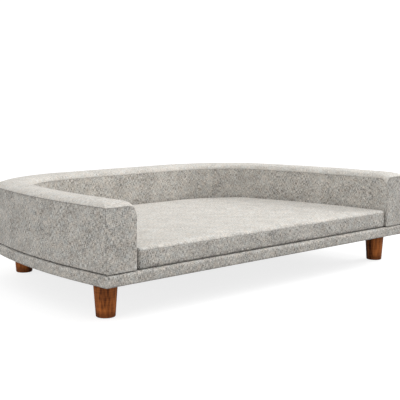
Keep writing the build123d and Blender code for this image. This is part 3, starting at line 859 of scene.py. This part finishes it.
started = time.time()
settled = blown_up(drawn, pressure=0.25, cap=0.006)
reach = max((a - b).length for r0, r1 in zip(drawn, settled) for a, b in zip(r0, r1))
print("cushion simulated in", round(time.time() - started, 1), "s, moved up to", round(reach * 1000, 2), "mm")

# %% [markdown]
# Nothing that holds the cushion gives way, so the blown-up form must not press through the deck, the arms or
# the back. The simulation could be given those as things to bump into, but it runs faster free, and its
# result is simply held back afterwards. Then it is cut at its two seams into the three panels that a sewing
# machine joins.

# %% Cushion covers
def held_back(ring):
    """A ring kept off the deck and inside the gap round the cushion."""
    clearance, edge_reach = 0.0004, 0.05
    kept = []
    for point, (p, n) in zip(ring, outline):
        over = (p - Vector((point.x, point.y))).dot(n) + clearance
        if over > 0 and (point - Vector((p.x, p.y, point.z))).length < edge_reach:
            point = Vector((point.x + n.x * over, point.y + n.y * over, point.z))
        kept.append(Vector((point.x, point.y, max(point.z, cushion_low))))
    return kept


def cushion_cover(name, part, seams, replaced, level):
    """One panel of the cushion's cover from a run of rings; seams tells which of its ends are sewn.

    level is true for the top and the bottom, whose cloth lies flat, and false for the band round the side."""
    lip_width, lip_sink, seam_tuck = 0.0012, 0.0005, 0.0022
    part = [list(ring) for ring in part]
    inward = [Vector((n.x, n.y, 0)) for p, n in outline]
    rises = [max(q.z for q in ring) - cushion_low for ring in part]
    insets = [(ring[0] - outline[0][0].to_3d()).to_2d().length for ring in part]
    # Painted shade: the rings near the bottom get darker towards the deck, where the cushion rests on it.
    shades = [0.7 * max(0.0, 1 - rise / 0.009) if inset < 0.022 else 0.0 for rise, inset in zip(rises, insets)]
    rim = [1.0 if inset < 0.006 else 0.0 for inset in insets]
    for end, sewn in ((0, seams[0]), (-1, seams[1])):
        if not sewn:
            continue
        edge, beside = part[end], part[1 if end == 0 else -2]
        lips = [q.lerp(r, lip_width / max(lip_width, (r - q).length)) for q, r in zip(edge, beside)]
        sunk = [q + n * lip_sink for q, n in zip(edge, inward)]
        tuck = [q + n * seam_tuck for q, n in zip(edge, inward)]
        # Painted shade in the seam's tuck and lip.
        extra, extra_shade = [tuck, sunk, lips], [0.5, 0.28, 0.0]
        if end == 0:
            part, shades, rim = extra + part[1:], extra_shade + shades[1:], [1.0] * 3 + rim[1:]
        else:
            part, shades, rim = part[:-1] + extra[::-1], shades[:-1] + extra_shade[::-1], rim[:-1] + [1.0] * 3
    around = lengths_along([p for p, n in outline])
    rows, flat = [], []
    for j in range(len(part[0])):
        rows.append([ring[j] for ring in part])
        flat.append([(q.x, q.y) if level else (around[j], q.z) for q in rows[-1]])
    half = wall_length / 2 - wall_thickness - side_gap
    # Painted shade in the gaps between the cushion's front corners and the arms.
    sides = [painted_shade_at((half - abs(p.x)) / 3, 0.8) if p.y < front_y + 0.03 else 0.0 for p, n in outline]
    crease = [[max(shade, side * on_rim) for shade, on_rim in zip(shades, rim)] for side in sides]
    cover = cloth_object(name, rows, flat, "cushion", closed=True, crease=crease)
    if level:
        loops = cover.data.uv_layers[0].data
        for loop in cover.data.loops:
            v = cover.data.vertices[loop.vertex_index].co
            loops[loop.index].uv = (v.x, v.y)
    welded(cover)
    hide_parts(replaced)
    return cover


settled = [held_back(ring) for ring in settled]
bottom_cover = cushion_cover("cushion_cover_bottom", settled[:bottom_seam_ring + 1], (False, True),
                             "cushion_bottom_panel", level=True)
band_cover = cushion_cover("cushion_cover_band", settled[bottom_seam_ring:top_seam_ring + 1], (True, True),
                           "cushion_band", level=False)
top_cover = cushion_cover("cushion_cover_top", settled[top_seam_ring:], (True, False),
                          "cushion_top_panel", level=True)
bottom_cover.data.materials.append(linen_sides)
band_cover.data.materials.append(linen_sides)
top_cover.data.materials.append(linen_lit_tops)
print("cushion covers", [len(c.data.polygons) for c in (bottom_cover, band_cover, top_cover)], "faces")

# %% [markdown]
# The zip is sewn in behind a slot in the band's rear, and the cloth is folded in along the slot's edges. A
# boolean cut could make the hole, but it would break up the grid and leave a raw edge. Four cutting planes
# leave the rest of the band as it is, and the rim of the hole, drawn inward, makes the fold.

# %% Zip slot
def rear_faces(mesh, low, high, margin_x=0.0, margin_z=0.0):
    """The faces behind low.y whose middles lie between the corners low and high, widened by the margins."""
    found = []
    for face in mesh.faces:
        at = face.calc_center_median()
        beside = low.x - margin_x < at.x < high.x + margin_x
        if at.y > low.y and beside and low.z - margin_z < at.z < high.z + margin_z:
            found.append(face)
    return found


def cut_slot(cover, low, high, fold=0.0012):
    """Cut a slot between the corners low and high through a cover's rear, and fold its edges inward."""
    mesh = bmesh.new()
    mesh.from_mesh(cover.data)
    shade = mesh.verts.layers.float["crease"]
    for corner in (low, high):
        for normal in (Vector((1, 0, 0)), Vector((0, 0, 1))):
            near = rear_faces(mesh, low, high, margin_x=0.02, margin_z=1.0)
            edges = {edge for face in near for edge in face.edges}
            verts = {vert for face in near for vert in face.verts}
            bmesh.ops.bisect_plane(mesh, geom=[*near, *edges, *verts], plane_co=corner, plane_no=normal,
                                   dist=0.000001)
    hole = rear_faces(mesh, low, high)
    edges = {edge for face in hole for edge in face.edges}
    bmesh.ops.delete(mesh, geom=hole, context="FACES")
    rim = [edge for edge in edges if edge.is_valid and edge.is_boundary]
    for part in bmesh.ops.extrude_edge_only(mesh, edges=rim)["geom"]:
        if isinstance(part, bmesh.types.BMVert):
            part.co.y -= fold
            # Painted shade on the cloth folded into the slot.
            part[shade] = 0.6
    for face in mesh.faces:
        face.smooth = True
    mesh.to_mesh(cover.data)
    print("slot cut with", len(rim), "edges folded in")


chain_low, chain_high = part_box("zip_chain")
slot_half = 0.0065
zip_level = (chain_low.z + chain_high.z) / 2
cut_slot(band_cover, Vector((chain_low.x - 0.001, chain_low.y - 0.01, zip_level - slot_half)),
         Vector((chain_high.x + 0.001, chain_high.y, zip_level + slot_half)))

# %% [markdown]
# Inside the cover lie two foam layers, a firm one below and a soft one on top, glued face to face. They could
# be plain cut blocks, but squeezed into a cover they take its form. So each is drawn from the same rings,
# about three millimetres further in, and closed with a flat face where the two meet.

# %% Cushion foam
def polyurethane_foam(name, pale, deep, cell):
    """Cut open-cell foam: matte, with fine round cells of the given size in metres, and a faint yellow age."""
    material, tree, shader = new_material(name)
    place = add_node(tree, "ShaderNodeTexCoord").outputs["Object"]
    cells = add_node(tree, "ShaderNodeTexVoronoi", {"Vector": place, "Scale": 1 / cell})
    patches = add_node(tree, "ShaderNodeTexNoise", {"Vector": place, "Scale": 9.0, "Detail": 3.0})
    depth = add_node(tree, "ShaderNodeMath", {0: cells.outputs["Distance"], 1: 0.5, 2: patches.outputs[0]},
                     operation="MULTIPLY_ADD")
    tone = add_node(tree, "ShaderNodeMapRange", {"Value": depth.outputs[0], "From Min": 0.4, "From Max": 1.0})
    colour = add_node(tree, "ShaderNodeMix", {0: tone.outputs[0], 6: linear(pale), 7: linear(deep)},
                      data_type="RGBA")
    relief = add_node(tree, "ShaderNodeBump", {"Height": cells.outputs["Distance"], "Strength": 0.5,
                                               "Distance": 0.001})
    feed(tree, shader, {"Base Color": colour.outputs[2], "Normal": relief.outputs[0], "Roughness": 0.95,
                        "Specular IOR Level": 0.1})
    return material


soft_foam = polyurethane_foam("cut_polyurethane_foam_soft", "#EFE9D2", "#DDD3B0", cell=0.0022)
firm_foam = polyurethane_foam("cut_polyurethane_foam_firm", "#D9DDE0", "#BFC6CB", cell=0.0018)
comfort_layer = 0.020
meeting = cushion_low + cushion_thickness - comfort_layer
cushion_middle = Vector((0.0, 0.02, cushion_low + 0.03))
side_clearance, level_clearance = 0.0032, 0.0025


def foam_layer(name, above, replaced, material):
    """One foam layer of the cushion from the settled rings above or below the meeting face."""
    squeeze = -level_clearance if above else level_clearance
    picked = []
    for ring, (inset, height, share) in zip(settled, ring_heights):
        if (height > meeting) == above:
            drop = squeeze if share > 0 or inset > 0 else 0.0
            inward = [(cushion_middle - q).normalized() * side_clearance for q in ring]
            picked.append([Vector((q.x + t.x, q.y + t.y, q.z + drop)) for q, t in zip(ring, inward)])
    edge = picked[0] if above else picked[-1]
    face = []
    for share in (0, 0.3, 0.7, 1):
        spots = [q.lerp(cushion_spine(q).to_3d(), share) for q in edge]
        face.append([Vector((q.x, q.y, meeting)) for q in spots])
    order = face[::-1] + picked if above else picked + face
    rows = [[ring[j] for ring in order] for j in range(len(edge))]
    flat = [[(q.x, q.y) for q in row] for row in rows]
    layer = cloth_object(name, rows, flat, "cushion", closed=True)
    welded(layer)
    layer.data.materials.append(material)
    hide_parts(replaced)
    print(name, len(layer.data.polygons), "faces")


foam_layer("cushion_foam_comfort", True, "cushion_comfort_foam", soft_foam)
foam_layer("cushion_foam_support", False, "cushion_support_foam", firm_foam)

# %% [markdown]
# The legs are turned from a pale hardwood, stained a red walnut brown and sealed with satin lacquer. The eye
# gets long grain lines down the leg, fine level rings left by the turning tool, a foot that grows darker
# towards the floor, and a soft gloss. A wood image could be wrapped round them, but it would smear at the
# foot. Noise in the leg's own space runs through it like real grain.

# %% Stained wood
def stained_wood(name, seed):
    """Turned hardwood under stain and satin lacquer; seed moves the grain so that no two legs match."""
    material, tree, shader = new_material(name)
    place = add_node(tree, "ShaderNodeTexCoord").outputs["Object"]
    lengthwise = add_node(tree, "ShaderNodeMapping", {
        "Vector": place, "Location": (seed * 0.37, seed * 0.61, 0.0), "Scale": (1.0, 1.0, 0.07)})
    across = add_node(tree, "ShaderNodeMapping", {"Vector": place, "Scale": (0.04, 0.04, 1.0)})
    figure = add_node(tree, "ShaderNodeTexNoise", {
        "Vector": lengthwise.outputs[0], "Scale": 62.0, "Detail": 4.0, "Distortion": 0.6})
    pores = add_node(tree, "ShaderNodeTexNoise", {
        "Vector": lengthwise.outputs[0], "Scale": 420.0, "Detail": 2.0})
    marks = add_node(tree, "ShaderNodeTexNoise", {"Vector": across.outputs[0], "Scale": 380.0, "Detail": 2.0})
    grain = add_node(tree, "ShaderNodeMath", {0: pores.outputs[0], 1: 0.35, 2: figure.outputs[0]},
                     operation="MULTIPLY_ADD")
    both = add_node(tree, "ShaderNodeMath", {0: marks.outputs[0], 1: 0.2, 2: grain.outputs[0]},
                    operation="MULTIPLY_ADD")
    tone = add_node(tree, "ShaderNodeMapRange", {"Value": both.outputs[0], "From Min": 0.63, "From Max": 0.91})
    colour = add_node(tree, "ShaderNodeMix", {0: tone.outputs[0], 6: linear("#431D0A"), 7: linear("#B46831")},
                      data_type="RGBA")
    # Darker towards the floor: below 22 mm the colour goes towards #3A1706, in patches that follow the figure.
    height = add_node(tree, "ShaderNodeSeparateXYZ", {0: place})
    foot = add_node(tree, "ShaderNodeMapRange", {
        "Value": height.outputs["Z"], "From Min": 0.022, "From Max": 0.010})
    darker_low = add_node(tree, "ShaderNodeMath", {0: foot.outputs[0], 1: figure.outputs[0]}, operation="MULTIPLY")
    stained = add_node(tree, "ShaderNodeMix", {
        0: darker_low.outputs[0], 6: colour.outputs[2], 7: linear("#3A1706")}, data_type="RGBA")
    relief = add_node(tree, "ShaderNodeBump", {
        "Height": both.outputs[0], "Strength": 0.25, "Distance": 0.0006})
    feed(tree, shader, {"Base Color": stained.outputs[2], "Normal": relief.outputs[0], "Roughness": 0.5,
                        "Specular IOR Level": 0.12, "Coat Weight": 0.05, "Coat Roughness": 0.2})
    return material


def refinish(node, material):
    """Give a construction node a real finish through its material slots."""
    slots = nodes[node].data.materials
    for i in range(len(slots)):
        slots[i] = material
    if not len(slots):
        slots.append(material)


for number, place in enumerate(("front_left", "front_right", "rear_left", "rear_right"), start=1):
    refinish("leg_" + place, stained_wood("stained_turned_hardwood_" + place, seed=float(number)))
print("four legs stained")

# %% [markdown]
# A zip lets the cover come off for washing. It runs along the straight back of the band, behind the slot: a
# woven tape sewn inside, a nylon coil down its middle, and a zinc slider with its pull parked at the left. A
# bar with a bump texture would do from afar, but from close by it would not read as a zip. So the coil is a
# real run of bent loops, one every 2.5 mm.

# %% Zip coil
def plain_plastic(name, swatch, roughness, relief_size):
    """Moulded plastic: one even colour with a fine texture from the mould."""
    material, tree, shader = new_material(name)
    place = add_node(tree, "ShaderNodeTexCoord").outputs["Object"]
    skin = add_node(tree, "ShaderNodeTexNoise", {"Vector": place, "Scale": 1 / relief_size, "Detail": 3.0})
    tone = add_node(tree, "ShaderNodeMapRange", {"Value": skin.outputs[0], "To Min": 0.9, "To Max": 1.1})
    colour = add_node(tree, "ShaderNodeMix", {0: 1.0, 6: linear(swatch), 7: tone.outputs[0]},
                      data_type="RGBA", blend_type="MULTIPLY")
    relief = add_node(tree, "ShaderNodeBump", {"Height": skin.outputs[0], "Strength": 0.15,
                                               "Distance": 0.0003})
    feed(tree, shader, {"Base Color": colour.outputs[2], "Normal": relief.outputs[0],
                        "Roughness": roughness, "IOR": 1.53})
    return material


def zip_coil(pitch=0.0025, thread=0.00042, bends=14, sides=6):
    """Two rows of bent nylon loops that hook into each other along the zip."""
    mesh = bmesh.new()
    centre = (chain_low + chain_high) / 2
    reach_z = (chain_high.z - chain_low.z) / 2 - thread
    reach_y = (chain_high.y - chain_low.y) / 2 - thread
    count = int((chain_high.x - chain_low.x - 2 * thread) / pitch)
    level = Vector((1, 0, 0))
    for i in range(count):
        hook = 1 if i % 2 else -1
        x = chain_low.x + thread + (i + 0.5) * pitch
        turns = [2 * pi * k / bends for k in range(bends)]
        loop = [Vector((x, centre.y + reach_y * sin(a),
                        centre.z + hook * (0.3 + 0.7 * cos(a)) * reach_z * 0.98)) for a in turns]
        sections = []
        for k, q in enumerate(loop):
            along = (loop[(k + 1) % bends] - loop[k - 1]).normalized()
            across = level.cross(along)
            sections.append([mesh.verts.new(q + (level * cos(b) + across * sin(b)) * thread)
                             for b in [2 * pi * m / sides for m in range(sides)]])
        for k in range(bends):
            here, there = sections[k], sections[(k + 1) % bends]
            for m in range(sides):
                mesh.faces.new((here[m], here[(m + 1) % sides], there[(m + 1) % sides], there[m]))
    bmesh.ops.recalc_face_normals(mesh, faces=mesh.faces)
    return new_piece(mesh, "zip_coil", "cushion")


coil = zip_coil()
coil.data.materials.append(plain_plastic("moulded_nylon_coil", "#A6A39D", 0.45, relief_size=0.002))
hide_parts("zip_chain")
print("zip coil", len(coil.data.polygons), "faces")

# %% [markdown]
# The tape is a narrow band, woven much finer than the cover and sewn behind the slot, so that only a strip of
# it shows on both sides of the coil. It could be a box as thick as the tape, but it is one thin woven sheet,
# so it is a sheet here too, in a darker shade of the same weave.

# %% Zip tape
tape_low, tape_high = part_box("cushion_zip_tape")
tape_y = tape_high.y - 0.0002
tape_rows = [[(x, tape_y + 0.00005 * sin(x * 900), z) for z in run_of(tape_low.z, tape_high.z, 0.002)]
             for x in run_of(tape_high.x, tape_low.x, 0.004)]
zip_tape = cloth_object("zip_tape_woven", tape_rows, [[(x, z) for x, y, z in row] for row in tape_rows],
                        "cushion")
zip_tape.data.materials.append(linen_look("woven_zip_tape", "#A9A6A0", "#96938D", "#7D7A75", 0.6))
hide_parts("cushion_zip_tape")
print("zip tape", len(zip_tape.data.polygons), "faces")

# %% [markdown]
# Steel parts are zinc plated: the slider, its pull, the bolts and the nuts. Zinc gives a cool, slightly
# cloudy grey. Its crystals could be drawn one by one, but on parts this small a soft cloud in colour and
# gloss is all that can be seen. The slider and pull show when the cushion is lifted, the rest only when the
# sofa is taken apart.

# %% Zinc-plated steel
def zinc_plate(name):
    """Steel with bright zinc plating, a little clouded."""
    material, tree, shader = new_material(name)
    place = add_node(tree, "ShaderNodeTexCoord").outputs["Object"]
    bloom = add_node(tree, "ShaderNodeTexNoise", {"Vector": place, "Scale": 180.0, "Detail": 4.0})
    colour = add_node(tree, "ShaderNodeMix", {0: bloom.outputs[0], 6: linear("#B9BCBD"), 7: linear("#D4D6D5")},
                      data_type="RGBA")
    rough = add_node(tree, "ShaderNodeMapRange", {"Value": bloom.outputs[0], "To Min": 0.22, "To Max": 0.5})
    feed(tree, shader, {"Base Color": colour.outputs[2], "Roughness": rough.outputs[0], "Metallic": 1.0})
    return material


plated = zinc_plate("zinc_plated_steel")
steel_nodes = ("zip_slider", "zip_pull", "wall_bolts", "wall_threaded_inserts", "leg_hanger_bolts",
               "leg_t_nuts")
for node in steel_nodes:
    refinish(node, plated)
refinish("leg_glides", plain_plastic("moulded_nylon_glide", "#2A2522", 0.55, relief_size=0.004))
print("plated", len(steel_nodes), "nodes, and moulded the glides")

# %% [markdown]
# Under the base a black dust cloth closes the frame. It is a spun-bonded cloth: random fibres pressed into a
# thin felt with a grid of small weld points. A plain black face could stand for it, but anyone who turns the
# sofa over sees the weld points and a faint sag between the rails, so it is a fine sheet with both.

# %% Dust cloth
def spunbond(name, pitch=0.004):
    """Black spun-bonded cloth; the weld points are drawn 4 mm apart, twice as coarse as real ones, to show."""
    material, tree, shader = new_material(name)
    place = add_node(tree, "ShaderNodeTexCoord").outputs["Object"]
    welds = add_node(tree, "ShaderNodeTexVoronoi", {"Vector": place, "Scale": 1 / pitch, "Randomness": 0.25})
    fibres = add_node(tree, "ShaderNodeTexNoise", {"Vector": place, "Scale": 400.0, "Detail": 4.0,
                                                   "Distortion": 1.5})
    mark = add_node(tree, "ShaderNodeMapRange", {"Value": welds.outputs["Distance"], "From Min": 0.2,
                                                 "From Max": 0.35})
    tone = add_node(tree, "ShaderNodeMath", {0: fibres.outputs[0], 1: mark.outputs[0]}, operation="MULTIPLY")
    colour = add_node(tree, "ShaderNodeMix", {0: tone.outputs[0], 6: linear("#1B1B1C"), 7: linear("#3A3A3C")},
                      data_type="RGBA")
    relief = add_node(tree, "ShaderNodeBump", {"Height": tone.outputs[0], "Strength": 0.4,
                                               "Distance": 0.0004})
    feed(tree, shader, {"Base Color": colour.outputs[2], "Normal": relief.outputs[0], "Roughness": 0.8,
                        "Specular IOR Level": 0.3})
    return material


dust_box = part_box("base_dust_cover")
dust_inset = dust_box[0].x + wall_length / 2


def dust_sheet():
    """The dust cloth as one sheet that sags a little between its staples, and its area."""
    loop = [ring_point(p, n, dust_inset) for p, n, s in loop_stations(0.012)]
    z = (dust_box[0].z + dust_box[1].z) / 2
    mesh = bmesh.new()
    rings = []
    for share in (0.0, 0.01, 0.03, 0.1, 0.25, 0.5, 0.75, 0.97):
        ring = []
        for q in loop:
            at = q.lerp(Vector((max(-0.3, min(0.3, q.x * 0.6)), 0.02)), share)
            sag = 0.0002 * noise.noise(Vector((at.x * 14, at.y * 14, 3.0)))
            ring.append(mesh.verts.new((at.x, at.y, z + sag)))
        rings.append(ring)
    for a, b in zip(rings, rings[1:]):
        for j in range(len(loop)):
            k = (j + 1) % len(loop)
            mesh.faces.new((a[j], a[k], b[k], b[j]))
    mesh.faces.new(rings[-1])
    bmesh.ops.remove_doubles(mesh, verts=mesh.verts, dist=0.00002)
    bmesh.ops.recalc_face_normals(mesh, faces=mesh.faces)
    area = sum(face.calc_area() for face in mesh.faces)
    return new_piece(mesh, "dust_cloth_sheet", "sofa", smooth=False), area


dust, dust_area = dust_sheet()
dust.data.materials.append(spunbond("spunbonded_polypropylene"))
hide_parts("base_dust_cover")
print("dust cloth", round(dust_area, 3), "square metres")

# %% [markdown]
# Wire staples hold the dust cloth and the hem under it. They could be left out as too small to matter, but a
# row of bright staples is what shows that an underside was made by hand. Each is one bent bar with four
# corners, set every 45 mm along the edge with its legs up in the rail, and all of them are one mesh.

# %% Staples
def staple_row(spacing=0.045, width=0.010, wire=0.0009):
    """Wire staples round the dust cloth's edge, each a flat bridge whose legs go up into the rail."""
    mesh = bmesh.new()
    loop = [ring_point(p, n, dust_inset + 0.006) for p, n, s in loop_stations(0.009)]
    leg_top, bridge = dust_box[0].z + 0.0018, dust_box[0].z - wire * 0.35
    walked, placed = 0.0, 0
    for q, r in zip(loop, loop[1:]):
        step = (r - q).length
        walked += step
        if walked < spacing or step < 0.002:
            continue
        walked, placed = 0.0, placed + 1
        along = (r - q).normalized()
        across = Vector((-along.y, along.x))
        ring = []
        for out, height in ((-1, leg_top), (-1, bridge), (1, bridge), (1, leg_top)):
            at = q + along * (out * width / 2)
            tip, inner = at + along * (out * wire / 2), at - along * (out * wire / 2)
            low = height if height == leg_top else height - wire * 0.25
            high = height if height == leg_top else height + wire * 0.35
            ring.append([mesh.verts.new((v.x + across.x * side * wire / 2, v.y + across.y * side * wire / 2, h))
                         for v, h in ((tip, low), (inner, high)) for side in (-1, 1)])
        for a, b in zip(ring, ring[1:]):
            for m, k in ((0, 1), (1, 3), (3, 2), (2, 0)):
                mesh.faces.new((a[m], a[k], b[k], b[m]))
    bmesh.ops.recalc_face_normals(mesh, faces=mesh.faces)
    staples = new_piece(mesh, "dust_cloth_staples", "sofa", smooth=False)
    staples.data.materials.append(plated)
    print("staples", placed)


staple_row()

# %% [markdown]
# The hidden frame is plain carpentry: birch plywood plates and deck, pine rails and studs, thin hardboard
# skins. Nobody sees it on a finished sofa, and one brown could do for all of it. But the model can be taken
# apart, so each board gets its own honest surface, with the grain along its own length.

# %% Frame timber
def sawn_wood(name, pale, deep, along, ring_size, roughness):
    """Planed raw wood, its grain along one axis: pale early and darker late wood, ring_size apart in metres."""
    material, tree, shader = new_material(name)
    place = add_node(tree, "ShaderNodeTexCoord").outputs["Object"]
    squeeze = [0.06 if axis == along else 1.0 for axis in "xyz"]
    lain = add_node(tree, "ShaderNodeMapping", {"Vector": place, "Scale": squeeze})
    rings = add_node(tree, "ShaderNodeTexNoise", {"Vector": lain.outputs[0], "Scale": 1 / ring_size,
                                                  "Detail": 3.0, "Distortion": 0.8})
    tone = add_node(tree, "ShaderNodeMapRange", {"Value": rings.outputs[0], "From Min": 0.35,
                                                 "From Max": 0.65})
    colour = add_node(tree, "ShaderNodeMix", {0: tone.outputs[0], 6: linear(pale), 7: linear(deep)},
                      data_type="RGBA")
    relief = add_node(tree, "ShaderNodeBump", {"Height": rings.outputs[0], "Strength": 0.2,
                                               "Distance": 0.0005})
    feed(tree, shader, {"Base Color": colour.outputs[2], "Normal": relief.outputs[0],
                        "Roughness": roughness})
    return material


birch = sawn_wood("rotary_cut_birch_plywood", "#E2C79B", "#C9A873", "x", 0.02, 0.6)
pine_x = sawn_wood("planed_pine_along_length", "#E8CD9A", "#C99F62", "x", 0.008, 0.55)
pine_y = sawn_wood("planed_pine_along_depth", "#E8CD9A", "#C99F62", "y", 0.008, 0.55)
pine_z = sawn_wood("planed_pine_upright", "#E8CD9A", "#C99F62", "z", 0.008, 0.55)
hardboard = sawn_wood("pressed_hardboard", "#7E5F42", "#6B4E34", "x", 0.004, 0.7)
boards = {
    birch: ("base_deck", "wall_bottom_plate", "wall_top_plate", "arm_end_board_left", "arm_end_board_right"),
    pine_x: ("base_front_rail", "base_back_rail", "base_leg_blocks"),
    pine_y: ("base_side_rail_left", "base_side_rail_right", "base_cross_rails"),
    pine_z: ("wall_studs",),
    hardboard: ("wall_outer_panel", "wall_inner_panel"),
}
for timber, members in boards.items():
    for member in members:
        refinish(member, timber)


def is_finished(piece):
    """Whether one of a piece's materials is a finish of this script, and not the plain one it came with."""
    return any(m and m.use_nodes and len(m.node_tree.nodes) > 4 for m in piece.data.materials)


bare = [name for name, piece in nodes.items() if not piece.hide_render and not is_finished(piece)]
print("construction nodes still without a finish:", bare)
